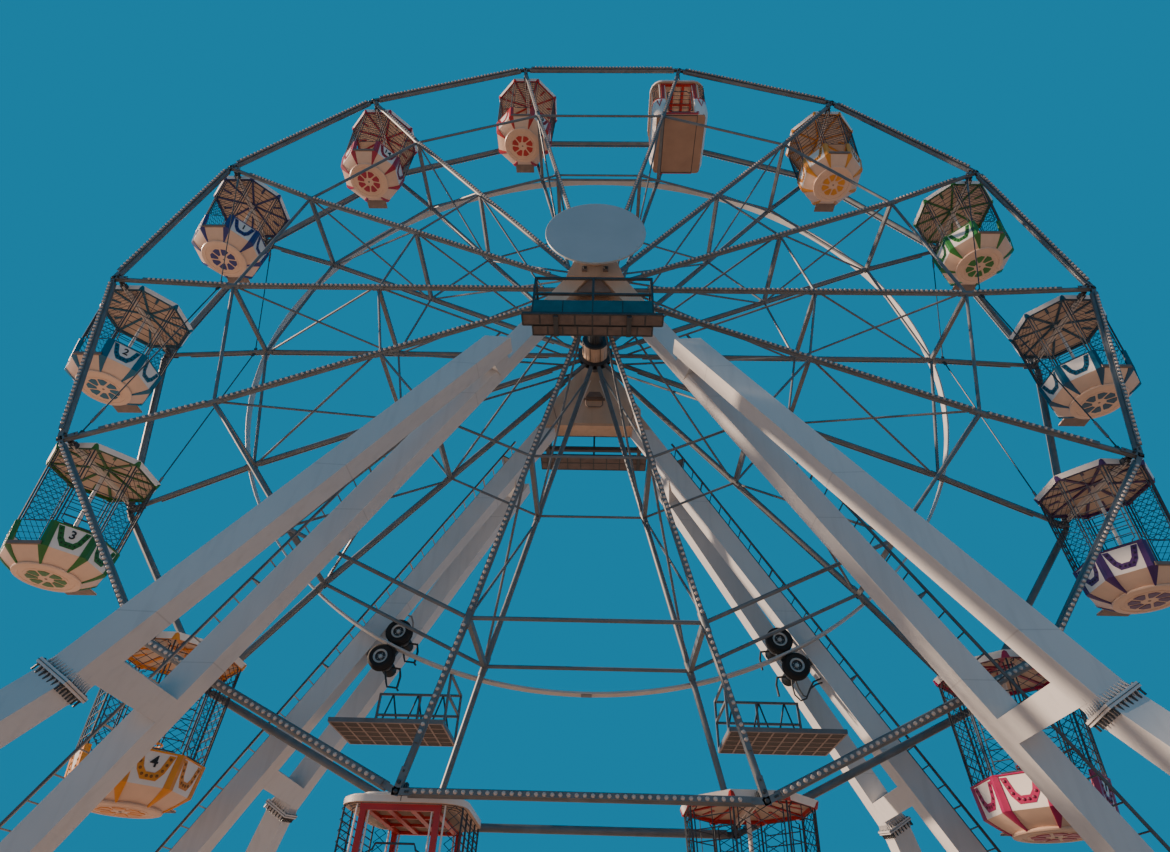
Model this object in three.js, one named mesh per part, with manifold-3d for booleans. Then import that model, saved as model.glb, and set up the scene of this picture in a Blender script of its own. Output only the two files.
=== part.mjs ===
// Ferris wheel with fourteen level-hanging gondolas on two pairs of splayed legs.
// Millimetres, +Z up, wheel axle along Y, front towards -Y, ground at Z = 0.
import * as THREE from 'three';
import { mergeVertices } from 'three/addons/utils/BufferGeometryUtils.js';
import Module from 'manifold-3d';

const wasm = await Module();
wasm.setup();

// Wheel
const HUB_HEIGHT = 13560;
const GONDOLA_COUNT = 14;
const FIRST_ANGLE = 154.286;
const RIM_RADIUS = 10310;
const PIVOT_RADIUS = 10200;
const RING_A_RADIUS = 7803;
const RING_B_RADIUS = 4653;
const RIM_HALF_DEPTH = 1095;
const SPOKE_HALF_DEPTH = 942;
const RIM_TUBE = 62;
const RIM_JOINT_TUBE = 38;
const RIM_JOINT_LENGTH = 150;
const SPOKE_TUBE = 50;
const RING_A_TUBE = 33;
const RING_B_TUBE = 25;
const DIAGONAL_TUBE = 23;
const TIE_ROD = 12;
const TIE_ROD_OUTER_END = 10050;
const TIE_ROD_INNER_END = 8080;
const POST_WIDTH = 80;
const HUB_BAY_START = 700;
const JOINT_OFFSET = 85;

// Bays with a tie rod: from the spoke's own rim end inwards, or from its ring outwards
const RODS_FROM_RIM = [1, 8];
const RODS_FROM_RING = [2, 9];

// Hub
const AXLE_RADIUS = 110;
const AXLE_HALF_LENGTH = 1790;
const SLEEVE_RADIUS = 170;
const SLEEVE_HALF_LENGTH = 440;
const DRUM_RADIUS = 300;
const CONE_END = 1102;
const FLANGE_RADIUS = 400;
const FLANGE_THICKNESS = 14;
const SPOKE_START = 312;

// Pivot pins
const PIN_RADIUS = 24;
const PIN_BORE = 34;
const PIN_INNER_END = 950;
const BORE_INNER_END = 940;
const BEAM_HALF_LENGTH = 1025;
const BEAM_HALF_WIDTH = 40;

// Drive ring and tyres
const DRIVE_RING_RADIUS = 7955;
const DRIVE_RING_THICKNESS = 40;
const DRIVE_RING_SIDES = 70;
const DRIVE_RING_FRONT = 1120;
const DRIVE_RING_BACK = 1298;
const TYRE_RADIUS = 232;
const TYRE_WIDTH = 200;
const TYRE_DEPTH = 1235;
const TYRE_GAP = 5;
const TYRE_ANGLE = 26.13;

// Legs
const LEG_WIDTH = 372;
const LEG_DEPTH = 332;
const LEG_SLOPE = 0.5788;
const INNER_LEG_Y = 1565;
const OUTER_LEG_X0 = -177;
const OUTER_LEG_SLOPE_X = 0.5975;
const OUTER_LEG_Y0 = 1644;
const OUTER_LEG_SLOPE_Y = 0.1648;
const OUTER_LEG_TOP = 3010;
const KINK_DROP = 9480;
const LOWER_SLOPE_X = 0.48;
const LOWER_SLOPE_Y = 0.509;
const HEAD_DROP = 1870;
const HEAD_RISE = 170;
const HOUSING_RADIUS = 300;
const HOUSING_LENGTH = 462;
const CROSS_BEAM_DROP = 9223;
const CROSS_BEAM_HEIGHT = 330;
const TOP_BEAM_INNER_DROP = 2960;
const TOP_BEAM_OUTER_DROP = 3240;
const FLANGE_WIDTH = 480;
const FLANGE_DEPTH = 440;
const FOOT_SIZE = 760;
const FOOT_THICKNESS = 40;

// Round plate in front of the front head
const DISC_RADIUS = 982;
const DISC_FRONT = -2342;
const DISC_THICKNESS = 44;

// Platforms, floor heights measured from the hub
const FRONT_FLOOR = -2896;
const BACK_FLOOR = -2007;
const DRIVE_FLOOR = -8420;
const RAIL_SIZE = 40;

// Gap left between neighbouring pieces of one rigid assembly
const FIT = 0.4;

// Ladders
const LADDER_OFFSET = 350;
const LADDER_HALF_WIDTH = 165;
const LADDER_TOP = 2450;
const LADDER_BOTTOM = 12760;
const LADDER_PITCH = 1850;

// Octagonal gondola, heights measured from its pivot line
const ROOF_CORNER = 922;
const ROOF_EDGE = -12;
const ROOF_FASCIA = 95;
const ROOF_RISE = 250;
const TUB_TOP_CORNER = 850;
const TUB_TOP = -1520;
const TUB_KNEE_CORNER = 800;
const TUB_KNEE = -1950;
const TUB_BELLY_CORNER = 538;
const TUB_BOTTOM = -2206;
const TUB_WALL = 45;
const TUB_FLOOR = -1920;
const DOOR_HALF_WIDTH = 275;
const CAGE_CORNER = 828;
const CAGE_POST = 22;

// Box gondola
const BOX_HALF_WIDTH = 798;
const BOX_HALF_LENGTH = 893;
const BOX_TOP = -1150;
const BOX_BOTTOM = -2060;
const BOX_BOTTOM_HALF_WIDTH = 650;
const BOX_ROOF_EDGE = -190;
const BOX_ROOF_HALF_WIDTH = 815;
const BOX_ROOF_HALF_LENGTH = 935;
const BOX_POST_X = 480;
const BOX_POST_Y = 850;
const BOX_GONDOLAS = [5, 12];

// Colours
const STEEL = 0x8d8f92;
const WHITE = 0xe9e4da;
const DARK = 0x3a3f44;
const BLACK = 0x1b1c1e;
const TRIM_COLOURS = [0x2c2c66, 0x0e8f9c, 0x2f8f3c, 0xe08a1e, 0xc52222, 0xc5262c, 0xb8206a,
  0x43265a, 0x0f7f96, 0x3b9a3a, 0xe29a24, 0xb5261f, 0xc22436, 0xb01f52];

const group = new THREE.Group();
group.name = 'ferris_wheel';

// Shape helpers

function solid(geometry) {
  const g = geometry.clone();
  g.deleteAttribute('normal');
  g.deleteAttribute('uv');
  const merged = mergeVertices(g, 0.001);
  const mesh = new wasm.Mesh({
    numProp: 3,
    vertProperties: new Float32Array(merged.attributes.position.array),
    triVerts: new Uint32Array(merged.index.array),
  });
  return new wasm.Manifold(mesh);
}

function vec(x, y, z) {
  return new THREE.Vector3(x, y, z);
}

function fuse(list) {
  return list.reduce((a, b) => a.add(b));
}

function block(x0, x1, y0, y1, z0, z1) {
  const g = new THREE.BoxGeometry(x1 - x0, y1 - y0, z1 - z0);
  g.translate((x0 + x1) / 2, (y0 + y1) / 2, (z0 + z1) / 2);
  return solid(g);
}

// Rectangular bar from a to b, its width measured along the side direction.
function bar(a, b, width, depth, side) {
  const along = b.clone().sub(a);
  const length = along.length();
  along.normalize();
  const w = side.clone().addScaledVector(along, -side.dot(along)).normalize();
  const d = along.clone().cross(w);
  const g = new THREE.BoxGeometry(width, depth, length);
  const m = new THREE.Matrix4().makeBasis(w, d, along);
  m.setPosition(a.clone().add(b).multiplyScalar(0.5));
  g.applyMatrix4(m);
  return solid(g);
}

// Round bar from a to b with a given number of sides.
function rod(a, b, radius, sides) {
  const along = b.clone().sub(a);
  const length = along.length();
  along.normalize();
  const corners = [];
  for (let i = 0; i < sides; i += 1) {
    const t = 2 * Math.PI * i / sides;
    corners.push(new THREE.Vector2(radius * Math.cos(t), radius * Math.sin(t)));
  }
  const g = new THREE.ExtrudeGeometry(new THREE.Shape(corners), { depth: length, bevelEnabled: false });
  const w = vec(0, 1, 0).addScaledVector(along, -along.y);
  if (w.length() < 0.01) w.set(1, 0, 0);
  w.normalize();
  const m = new THREE.Matrix4().makeBasis(w, along.clone().cross(w), along);
  m.setPosition(a);
  g.applyMatrix4(m);
  return solid(g);
}

// Body turned about the Y axis through the origin, profile given as [radius, y].
function turned(profile, sides, turn) {
  const points = profile.map(([r, y]) => new THREE.Vector2(r, y));
  const g = new THREE.LatheGeometry(points, sides, turn || 0);
  return solid(g);
}

// Body turned about the Z axis, profile given as [radius, z] from the bottom of the axis round the outside.
function turnedUpright(profile, sides, turn) {
  const points = profile.map(([r, z]) => new THREE.Vector2(r, z));
  const g = new THREE.LatheGeometry(points, sides, turn || 0);
  g.rotateX(Math.PI / 2);
  return solid(g);
}

// Outline in X and Z, extruded along Y from y0 to y1.
function slab(points, y0, y1) {
  const shape = new THREE.Shape(points.map(([x, z]) => new THREE.Vector2(x, z)));
  const g = new THREE.ExtrudeGeometry(shape, { depth: y1 - y0, bevelEnabled: false });
  g.rotateX(Math.PI / 2);
  g.translate(0, y1, 0);
  return solid(g);
}

// Outline in X and Y, extruded along Z from z0 to z1.
function prism(points, z0, z1) {
  const shape = new THREE.Shape(points.map(([x, y]) => new THREE.Vector2(x, y)));
  const g = new THREE.ExtrudeGeometry(shape, { depth: z1 - z0, bevelEnabled: false });
  g.translate(0, 0, z0);
  return solid(g);
}

function place(name, body, colour, metalness, roughness) {
  const out = body.translate([0, 0, HUB_HEIGHT]).getMesh();
  const g = new THREE.BufferGeometry();
  g.setAttribute('position', new THREE.BufferAttribute(new Float32Array(out.vertProperties), 3));
  g.setIndex(new THREE.BufferAttribute(new Uint32Array(out.triVerts), 1));
  g.computeVertexNormals();
  const material = new THREE.MeshStandardMaterial({ color: colour, metalness, roughness });
  const mesh = new THREE.Mesh(g, material);
  mesh.name = name;
  group.add(mesh);
}

function radians(degrees) {
  return degrees * Math.PI / 180;
}

function nodeAngle(number) {
  return radians(FIRST_ANGLE + (number - 1) * 360 / GONDOLA_COUNT);
}

// Point in the wheel at a radius and depth on a node ray, measured from the hub centre.
function onRay(angle, radius, y) {
  return vec(radius * Math.cos(angle), y, radius * Math.sin(angle));
}

function label(number) {
  return String(number).padStart(2, '0');
}

// Legs, measured from the hub centre with positive drop downwards

function innerLegPoint(sx, sy, drop) {
  return vec(sx * LEG_SLOPE * drop, sy * INNER_LEG_Y, -drop);
}

function outerLegPoint(sx, sy, drop) {
  const x = OUTER_LEG_X0 + OUTER_LEG_SLOPE_X * drop;
  const y = OUTER_LEG_Y0 + OUTER_LEG_SLOPE_Y * drop;
  return vec(sx * x, sy * y, -drop);
}

function lowerLegPoint(sx, sy, drop) {
  const p = outerLegPoint(sx, sy, KINK_DROP);
  const below = drop - KINK_DROP;
  return vec(p.x + sx * LOWER_SLOPE_X * below, p.y + sy * LOWER_SLOPE_Y * below, -drop);
}

function legBar(a, b, grow) {
  const along = b.clone().sub(a).normalize();
  const side = vec(0, 1, 0).cross(along);
  return bar(a, b, LEG_WIDTH + 2 * grow, LEG_DEPTH + 2 * grow, side);
}

function belowPlane(drop) {
  return block(-20000, 20000, -20000, 20000, -40000, -drop);
}

function abovePlane(drop) {
  return block(-20000, 20000, -20000, 20000, -drop, 20000);
}

function innerLeg(sx, sy) {
  const ground = HUB_HEIGHT;
  const shaft = legBar(innerLegPoint(sx, sy, HEAD_DROP - 600), innerLegPoint(sx, sy, ground + 600), 0)
    .intersect(belowPlane(HEAD_DROP + FIT))
    .intersect(abovePlane(ground - 10));
  const p = innerLegPoint(sx, sy, ground);
  const half = FOOT_SIZE / 2;
  const foot = block(p.x - half, p.x + half, p.y - half, p.y + half, -ground, -ground + FOOT_THICKNESS);
  return shaft.add(foot);
}

// Beam that ties the outer leg to the front or back face of the inner leg
function tieBeam(sx, sy, innerDrop, outerDrop) {
  const sideways = vec(0, 1, 0).cross(vec(sx * LEG_SLOPE, 0, -1).normalize());
  const room = legBar(innerLegPoint(sx, sy, innerDrop - 1500), innerLegPoint(sx, sy, innerDrop + 1500), FIT);
  const from = innerLegPoint(sx, sy, innerDrop);
  const to = outerLegPoint(sx, sy, outerDrop);
  return bar(from, to, LEG_WIDTH, CROSS_BEAM_HEIGHT, sideways).subtract(room);
}

function outerLeg(sx, sy) {
  const ground = HUB_HEIGHT;
  const kink = outerLegPoint(sx, sy, KINK_DROP);
  const upper = legBar(outerLegPoint(sx, sy, OUTER_LEG_TOP - 600), kink, 0)
    .intersect(belowPlane(OUTER_LEG_TOP));
  const axis = kink.clone().sub(outerLegPoint(sx, sy, OUTER_LEG_TOP)).normalize();
  const side = vec(0, 1, 0).cross(axis);
  const above = kink.clone().addScaledVector(axis, -30);
  const below = kink.clone().addScaledVector(axis, 30);
  const flange = bar(above, below, FLANGE_WIDTH, FLANGE_DEPTH, side);
  const lower = legBar(kink, lowerLegPoint(sx, sy, ground + 600), 0)
    .intersect(abovePlane(ground - 10));
  const p = lowerLegPoint(sx, sy, ground);
  const half = FOOT_SIZE / 2;
  const foot = block(p.x - half, p.x + half, p.y - half, p.y + half, -ground, -ground + FOOT_THICKNESS);
  const top = tieBeam(sx, sy, TOP_BEAM_INNER_DROP, TOP_BEAM_OUTER_DROP);
  const cross = tieBeam(sx, sy, CROSS_BEAM_DROP, CROSS_BEAM_DROP);
  return fuse([upper, flange, lower, foot, top, cross]);
}

// Room taken by the legs of one side, grown by the fitting gap
function legRoom(sx, sy, grow) {
  const inner = legBar(innerLegPoint(sx, sy, 300), innerLegPoint(sx, sy, HUB_HEIGHT), grow);
  const outer = legBar(outerLegPoint(sx, sy, OUTER_LEG_TOP - 300), outerLegPoint(sx, sy, KINK_DROP), grow)
    .intersect(belowPlane(OUTER_LEG_TOP - grow));
  return inner.add(outer);
}

const SIDES = [['left', -1], ['right', 1]];
const FACES = [['front', -1], ['back', 1]];

for (const [faceName, sy] of FACES) {
  for (const [sideName, sx] of SIDES) {
    place(`${faceName}_${sideName}_inner_leg`, innerLeg(sx, sy), WHITE, 0.2, 0.5);
    place(`${faceName}_${sideName}_outer_leg`, outerLeg(sx, sy), WHITE, 0.2, 0.5);
  }
}

// Heads carrying the axle

function head(sy) {
  const list = [];
  for (const sx of [-1, 1]) {
    list.push(legBar(innerLegPoint(sx, sy, -400), innerLegPoint(sx, sy, HEAD_DROP + 400), 0));
  }
  let body = fuse(list).intersect(belowPlane(-HEAD_RISE)).intersect(abovePlane(HEAD_DROP));
  const inner = INNER_LEG_Y - LEG_DEPTH / 2;
  const y0 = Math.min(sy * (inner - 30), sy * (inner + 5));
  const y1 = Math.max(sy * (inner - 30), sy * (inner + 5));
  const foot = 70 - HEAD_DROP;
  const plate = slab([
    [-1060, foot], [1060, foot], [1060, -1290], [260, HEAD_RISE], [-260, HEAD_RISE], [-1060, -1290],
  ], y0, y1);
  const outer = inner + LEG_DEPTH;
  const floor = block(-1000, 1000, Math.min(sy * inner, sy * outer), Math.max(sy * inner, sy * outer),
    foot, foot + 30);
  const housing = turned([
    [0, 0], [HOUSING_RADIUS, 0], [HOUSING_RADIUS, HOUSING_LENGTH], [0, HOUSING_LENGTH],
  ], 16, 0).translate([0, sy > 0 ? inner : -inner - HOUSING_LENGTH, 0]);
  const bore = turned([[0, 0], [AXLE_RADIUS + 5, 0], [AXLE_RADIUS + 5, 900], [0, 900]], 16, 0)
    .translate([0, sy > 0 ? inner - 200 : -inner - 700, 0]);
  body = body.add(plate).add(floor).add(housing).subtract(bore);
  return body;
}

place('front_head', head(-1), WHITE, 0.2, 0.5);
place('back_head', head(1), WHITE, 0.2, 0.5);

// Round plate in front of the front head
{
  const back = DISC_FRONT + DISC_THICKNESS;
  const end = -(INNER_LEG_Y - LEG_DEPTH / 2 + HOUSING_LENGTH + FIT);
  const plate = turned([[0, DISC_FRONT], [DISC_RADIUS, DISC_FRONT], [DISC_RADIUS, back], [0, back]], 32, 0);
  const stem = turned([[0, back - 5], [160, back - 5], [160, end], [0, end]], 12, 0);
  place('front_disc', plate.add(stem), WHITE, 0.1, 0.5);
}

// Service platforms beside the heads

function railing(x0, x1, y, z, height, posts, size) {
  const list = [];
  for (let i = 0; i < posts; i += 1) {
    const x = x0 + (x1 - x0) * i / (posts - 1);
    list.push(block(x - size / 2, x + size / 2, y - size / 2, y + size / 2, z - 20, z + height));
  }
  list.push(block(x0 - size / 2, x1 + size / 2, y - size / 2, y + size / 2, z + height - size, z + height));
  const middle = z + height * 0.55;
  list.push(block(x0 - size / 2, x1 + size / 2, y - size / 2, y + size / 2, middle - size, middle));
  return list;
}

{
  const floor = FRONT_FLOOR;
  const list = [
    block(-1177, 1177, -2753, -2513, floor - 60, floor),
    block(-1014, 1014, -2518, -2303, floor - 60, floor),
    block(-1010, 1010, -2738, -2723, floor, floor + 322),
    ...railing(-1010, 1010, -2723, floor, 946, 3, RAIL_SIZE),
    block(-655, -575, -2740, -2310, floor - 110, floor - 30),
    block(575, 655, -2740, -2310, floor - 110, floor - 30),
  ];
  for (const x of [-1010, 1010]) {
    const top = floor + 946;
    list.push(block(x - 20, x + 20, -2743, -1700, top - RAIL_SIZE, top));
    list.push(block(x - 20, x + 20, -2743, -2285, floor + 480, floor + 520));
    list.push(block(x - 20, x + 20, -2325, -2285, floor - 60, top));
  }
  const body = fuse(list)
    .subtract(legRoom(-1, -1, FIT))
    .subtract(legRoom(1, -1, FIT));
  place('front_platform', body, DARK, 0.6, 0.6);
}

{
  const floor = BACK_FLOOR;
  const list = [
    block(-1212, 1212, 2143, 2643, floor - 60, floor),
    ...railing(-1050, 1050, 2613, floor, 981, 3, RAIL_SIZE),
    block(-1080, -1000, 1700, 2600, floor - 110, floor - 30),
    block(1000, 1080, 1700, 2600, floor - 110, floor - 30),
    block(-1150, 1150, 1843, 1923, floor - 110, floor - 10),
  ];
  const body = fuse(list)
    .subtract(legRoom(-1, 1, FIT))
    .subtract(legRoom(1, 1, FIT));
  place('back_platform', body, DARK, 0.6, 0.6);
}

// Ladders on the outer edges of the inner legs

function ladder(sx, sy) {
  const axis = vec(sx * LEG_SLOPE, 0, -1).normalize();
  const out = vec(sx, 0, LEG_SLOPE).normalize();
  const at = (drop, offset, y) => innerLegPoint(sx, sy, drop)
    .addScaledVector(out, offset).setY(sy * INNER_LEG_Y + y);
  const list = [];
  for (const y of [-LADDER_HALF_WIDTH, LADDER_HALF_WIDTH]) {
    list.push(bar(at(LADDER_TOP, LADDER_OFFSET, y), at(LADDER_BOTTOM, LADDER_OFFSET, y), 36, 24, out));
  }
  const span = LADDER_BOTTOM - LADDER_TOP;
  const count = Math.floor(span / LADDER_PITCH);
  for (let i = 0; i < count; i += 1) {
    const drop = LADDER_TOP + (i + 0.5) * span / count;
    const near = at(drop, LADDER_OFFSET, -LADDER_HALF_WIDTH);
    const far = at(drop, LADDER_OFFSET, LADDER_HALF_WIDTH);
    list.push(bar(near, far, 24, 24, axis));
  }
  for (const drop of [LADDER_TOP + 400, (LADDER_TOP + LADDER_BOTTOM) / 2, LADDER_BOTTOM - 400]) {
    const root = at(drop, LEG_WIDTH / 2 + FIT, 0);
    list.push(bar(root, at(drop, LADDER_OFFSET + 12, 0), 24, 2 * LADDER_HALF_WIDTH, axis));
  }
  return fuse(list);
}

for (const [faceName, sy] of FACES) {
  for (const [sideName, sx] of SIDES) {
    place(`${faceName}_${sideName}_ladder`, ladder(sx, sy), STEEL, 0.7, 0.5);
  }
}

// Drive stations on the back inner legs

const RING_INSIDE = DRIVE_RING_RADIUS - DRIVE_RING_THICKNESS / 2;
const RING_OUTSIDE = DRIVE_RING_RADIUS + DRIVE_RING_THICKNESS / 2;
const INNER_TYRE_RADIUS = RING_INSIDE * Math.cos(Math.PI / DRIVE_RING_SIDES) - TYRE_GAP - TYRE_RADIUS;
const OUTER_TYRE_RADIUS = RING_OUTSIDE + TYRE_GAP + TYRE_RADIUS;

function tyreCentre(sx, radius) {
  const a = radians(TYRE_ANGLE);
  return vec(sx * radius * Math.sin(a), TYRE_DEPTH, -radius * Math.cos(a));
}

function drivePlatform(sx) {
  const floor = DRIVE_FLOOR;
  const x0 = sx > 0 ? 2360 : -4290;
  const x1 = sx > 0 ? 4290 : -2360;
  const end = sx * 2380;
  const far = sx * 3900;
  const rail = 860;
  const list = [
    block(x0, x1, 1240, 2535, floor - 70, floor),
    ...railing(Math.min(end, far), Math.max(end, far), 2515, floor, rail, 3, RAIL_SIZE),
    block(end - 20, end + 20, 1380, 1420, floor - 20, floor + rail),
    block(end - 20, end + 20, 1380, 2535, floor + rail - RAIL_SIZE, floor + rail),
    block(end - 20, end + 20, 1380, 2535, floor + 455, floor + 495),
  ];
  return fuse(list).subtract(legRoom(sx, 1, FIT));
}

function driveUnit(sx) {
  const inner = tyreCentre(sx, INNER_TYRE_RADIUS);
  const outer = tyreCentre(sx, OUTER_TYRE_RADIUS);
  const toLeg = vec(sx, 0, LEG_SLOPE).normalize();
  const list = [bar(inner.clone().setY(1500), outer.clone().setY(1500), 150, 80, toLeg)];
  for (const p of [inner, outer]) {
    const shaft = p.clone().setY(1500);
    list.push(bar(shaft, shaft.clone().addScaledVector(toLeg, 500), 100, 120, vec(0, 1, 0)));
    list.push(rod(vec(p.x, TYRE_DEPTH - 50, p.z), vec(p.x, 1540, p.z), 28, 8));
    list.push(rod(vec(p.x, 1450, p.z), vec(p.x, 1860, p.z), 105, 8));
  }
  return fuse(list).subtract(legRoom(sx, 1, FIT));
}

function tyre(sx, radius) {
  const h = TYRE_WIDTH / 2;
  const p = tyreCentre(sx, radius);
  return turned([[0, -h], [205, -h], [TYRE_RADIUS, -h + 40], [TYRE_RADIUS, h - 40],
    [205, h], [34, h], [34, -h + 45], [0, -h + 45]], 16, 0).translate([p.x, p.y, p.z]);
}

for (const [sideName, sx] of SIDES) {
  place(`${sideName}_drive_platform`, drivePlatform(sx), DARK, 0.6, 0.6);
  place(`${sideName}_drive_unit`, driveUnit(sx), DARK, 0.5, 0.5);
  place(`${sideName}_inner_tyre`, tyre(sx, INNER_TYRE_RADIUS), BLACK, 0, 0.9);
  place(`${sideName}_outer_tyre`, tyre(sx, OUTER_TYRE_RADIUS), BLACK, 0, 0.9);
}

// Hub and axle
{
  const r = FLANGE_RADIUS;
  const near = SPOKE_HALF_DEPTH - SPOKE_TUBE - FIT;
  const far = SPOKE_HALF_DEPTH + SPOKE_TUBE + FIT;
  const half = [
    [SLEEVE_RADIUS, SLEEVE_HALF_LENGTH], [DRUM_RADIUS, SLEEVE_HALF_LENGTH],
    [DRUM_RADIUS, near - FLANGE_THICKNESS], [r, near - FLANGE_THICKNESS], [r, near], [DRUM_RADIUS, near],
    [DRUM_RADIUS, far], [r, far], [r, far + FLANGE_THICKNESS], [AXLE_RADIUS, CONE_END],
    [AXLE_RADIUS, AXLE_HALF_LENGTH],
  ];
  const profile = [[0, -AXLE_HALF_LENGTH]];
  for (const [radius, y] of half.slice().reverse()) profile.push([radius, -y]);
  for (const [radius, y] of half) profile.push([radius, y]);
  profile.push([0, AXLE_HALF_LENGTH]);
  place('wheel_hub', turned(profile, 12, 0), STEEL, 0.7, 0.45);
}

// Spoke frame on the ray along +X, with the tubes that run on to the next frame

// tie: 'rim' or 'ring' names the end on this spoke where the bay's tie rod starts, '' for none.
function spokeFrame(tie) {
  const next = radians(360 / GONDOLA_COUNT);
  const j = JOINT_OFFSET;
  const list = [];
  for (const s of [-1, 1]) {
    const depthAt = (radius) => s * (SPOKE_HALF_DEPTH + (RIM_HALF_DEPTH - SPOKE_HALF_DEPTH)
      * (radius - RING_A_RADIUS) / (RIM_RADIUS - RING_A_RADIUS));
    const onSpoke = (angle, radius) => onRay(angle, radius, depthAt(radius));
    const elbow = onRay(0, RING_A_RADIUS, s * SPOKE_HALF_DEPTH);
    const tip = onSpoke(0, RIM_RADIUS);
    const nextTip = onSpoke(next, RIM_RADIUS);
    const setback = nextTip.clone().sub(tip).normalize().multiplyScalar(RIM_JOINT_LENGTH);
    const start = onRay(0, SPOKE_START, s * SPOKE_HALF_DEPTH);
    list.push(rod(start, onRay(0, RING_A_RADIUS + 12, s * SPOKE_HALF_DEPTH), SPOKE_TUBE, 6));
    list.push(rod(elbow, tip, SPOKE_TUBE - 1, 6));
    list.push(rod(onRay(0, PIVOT_RADIUS, s * PIN_INNER_END), onSpoke(0, PIVOT_RADIUS), PIN_RADIUS, 6));
    list.push(rod(tip.clone().add(setback), nextTip.clone().sub(setback), RIM_TUBE, 6));
    const onRingB = (angle) => onRay(angle, RING_B_RADIUS, s * SPOKE_HALF_DEPTH);
    const onward = [
      rod(tip, nextTip, RIM_JOINT_TUBE, 6),
      rod(elbow, onRay(next, RING_A_RADIUS, s * SPOKE_HALF_DEPTH), RING_A_TUBE, 4),
      rod(onRingB(0), onRingB(next), RING_B_TUBE, 4),
    ];
    if (tie === 'rim') {
      onward.push(rod(onSpoke(0, TIE_ROD_OUTER_END), onSpoke(next, TIE_ROD_INNER_END), TIE_ROD, 4));
    }
    if (tie === 'ring') {
      onward.push(rod(onSpoke(0, TIE_ROD_INNER_END), onSpoke(next, TIE_ROD_OUTER_END), TIE_ROD, 4));
    }
    for (const tube of onward) list.push(tube.subtract(nextRoom(next)));
    for (const [from, to] of [[HUB_BAY_START, RING_B_RADIUS - j], [RING_B_RADIUS + j, RING_A_RADIUS - j]]) {
      const a = onRay(0, from, s * SPOKE_HALF_DEPTH);
      const b = onRay(0, to, -s * SPOKE_HALF_DEPTH);
      a.z = s * (DIAGONAL_TUBE + 1);
      b.z = s * (DIAGONAL_TUBE + 1);
      list.push(rod(a, b, DIAGONAL_TUBE, 4));
    }
  }
  for (const radius of [RING_A_RADIUS, RING_B_RADIUS]) {
    list.push(bar(onRay(0, radius, -SPOKE_HALF_DEPTH), onRay(0, radius, SPOKE_HALF_DEPTH),
      POST_WIDTH, POST_WIDTH, vec(1, 0, 0)));
  }
  return fuse(list);
}

// Half space that holds the neighbouring frame, from just before its spokes onwards
function nextRoom(angle) {
  const size = 4000;
  const g = new THREE.BoxGeometry(14000, 4000, size);
  g.translate(7000, 0, size / 2 - SPOKE_TUBE - FIT);
  g.rotateY(-angle);
  return solid(g);
}

const plainFrame = spokeFrame('');
const rimRodFrame = spokeFrame('rim');
const ringRodFrame = spokeFrame('ring');
for (let n = 1; n <= GONDOLA_COUNT; n += 1) {
  const turn = FIRST_ANGLE + (n - 1) * 360 / GONDOLA_COUNT;
  let frame = plainFrame;
  if (RODS_FROM_RIM.includes(n)) frame = rimRodFrame;
  if (RODS_FROM_RING.includes(n)) frame = ringRodFrame;
  place(`spoke_frame_${label(n)}`, frame.rotate([0, -turn, 0]), STEEL, 0.7, 0.45);
}

// Drive ring on its brackets behind the wheel
{
  const band = turned([
    [RING_INSIDE, DRIVE_RING_FRONT], [RING_OUTSIDE, DRIVE_RING_FRONT], [RING_OUTSIDE, DRIVE_RING_BACK],
    [RING_INSIDE, DRIVE_RING_BACK], [RING_INSIDE, DRIVE_RING_FRONT],
  ], DRIVE_RING_SIDES, 0);
  const list = [band];
  const depth = SPOKE_HALF_DEPTH + SPOKE_TUBE + 10 + FIT;
  const behind = block(-9000, 9000, depth, 2000, -9000, 9000);
  for (let n = 1; n <= GONDOLA_COUNT; n += 1) {
    const angle = nodeAngle(n);
    const radial = onRay(angle, 1, 0);
    const bend = onRay(angle, DRIVE_RING_RADIUS, depth + 85);
    list.push(bar(onRay(angle, RING_A_RADIUS, depth - 35), bend, 44, 50, radial).intersect(behind));
    const root = onRay(angle, DRIVE_RING_RADIUS, depth + 60);
    const tip = onRay(angle, DRIVE_RING_RADIUS, DRIVE_RING_FRONT + 30);
    list.push(bar(root, tip, 24, 50, radial));
  }
  place('drive_ring', fuse(list), WHITE, 0.3, 0.5);
}

// Gondolas, built round their pivot line

// Beam under the roof with a blind bore in each end for the pivot pins
function suspensionBeam() {
  const w = BEAM_HALF_WIDTH;
  let beam = block(-w, w, -BEAM_HALF_LENGTH, BEAM_HALF_LENGTH, -w, w);
  for (const s of [-1, 1]) {
    const mouth = vec(0, s * (BEAM_HALF_LENGTH + 20), 0);
    beam = beam.subtract(rod(vec(0, s * BORE_INNER_END, 0), mouth, PIN_BORE, 6));
  }
  return beam;
}

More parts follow.
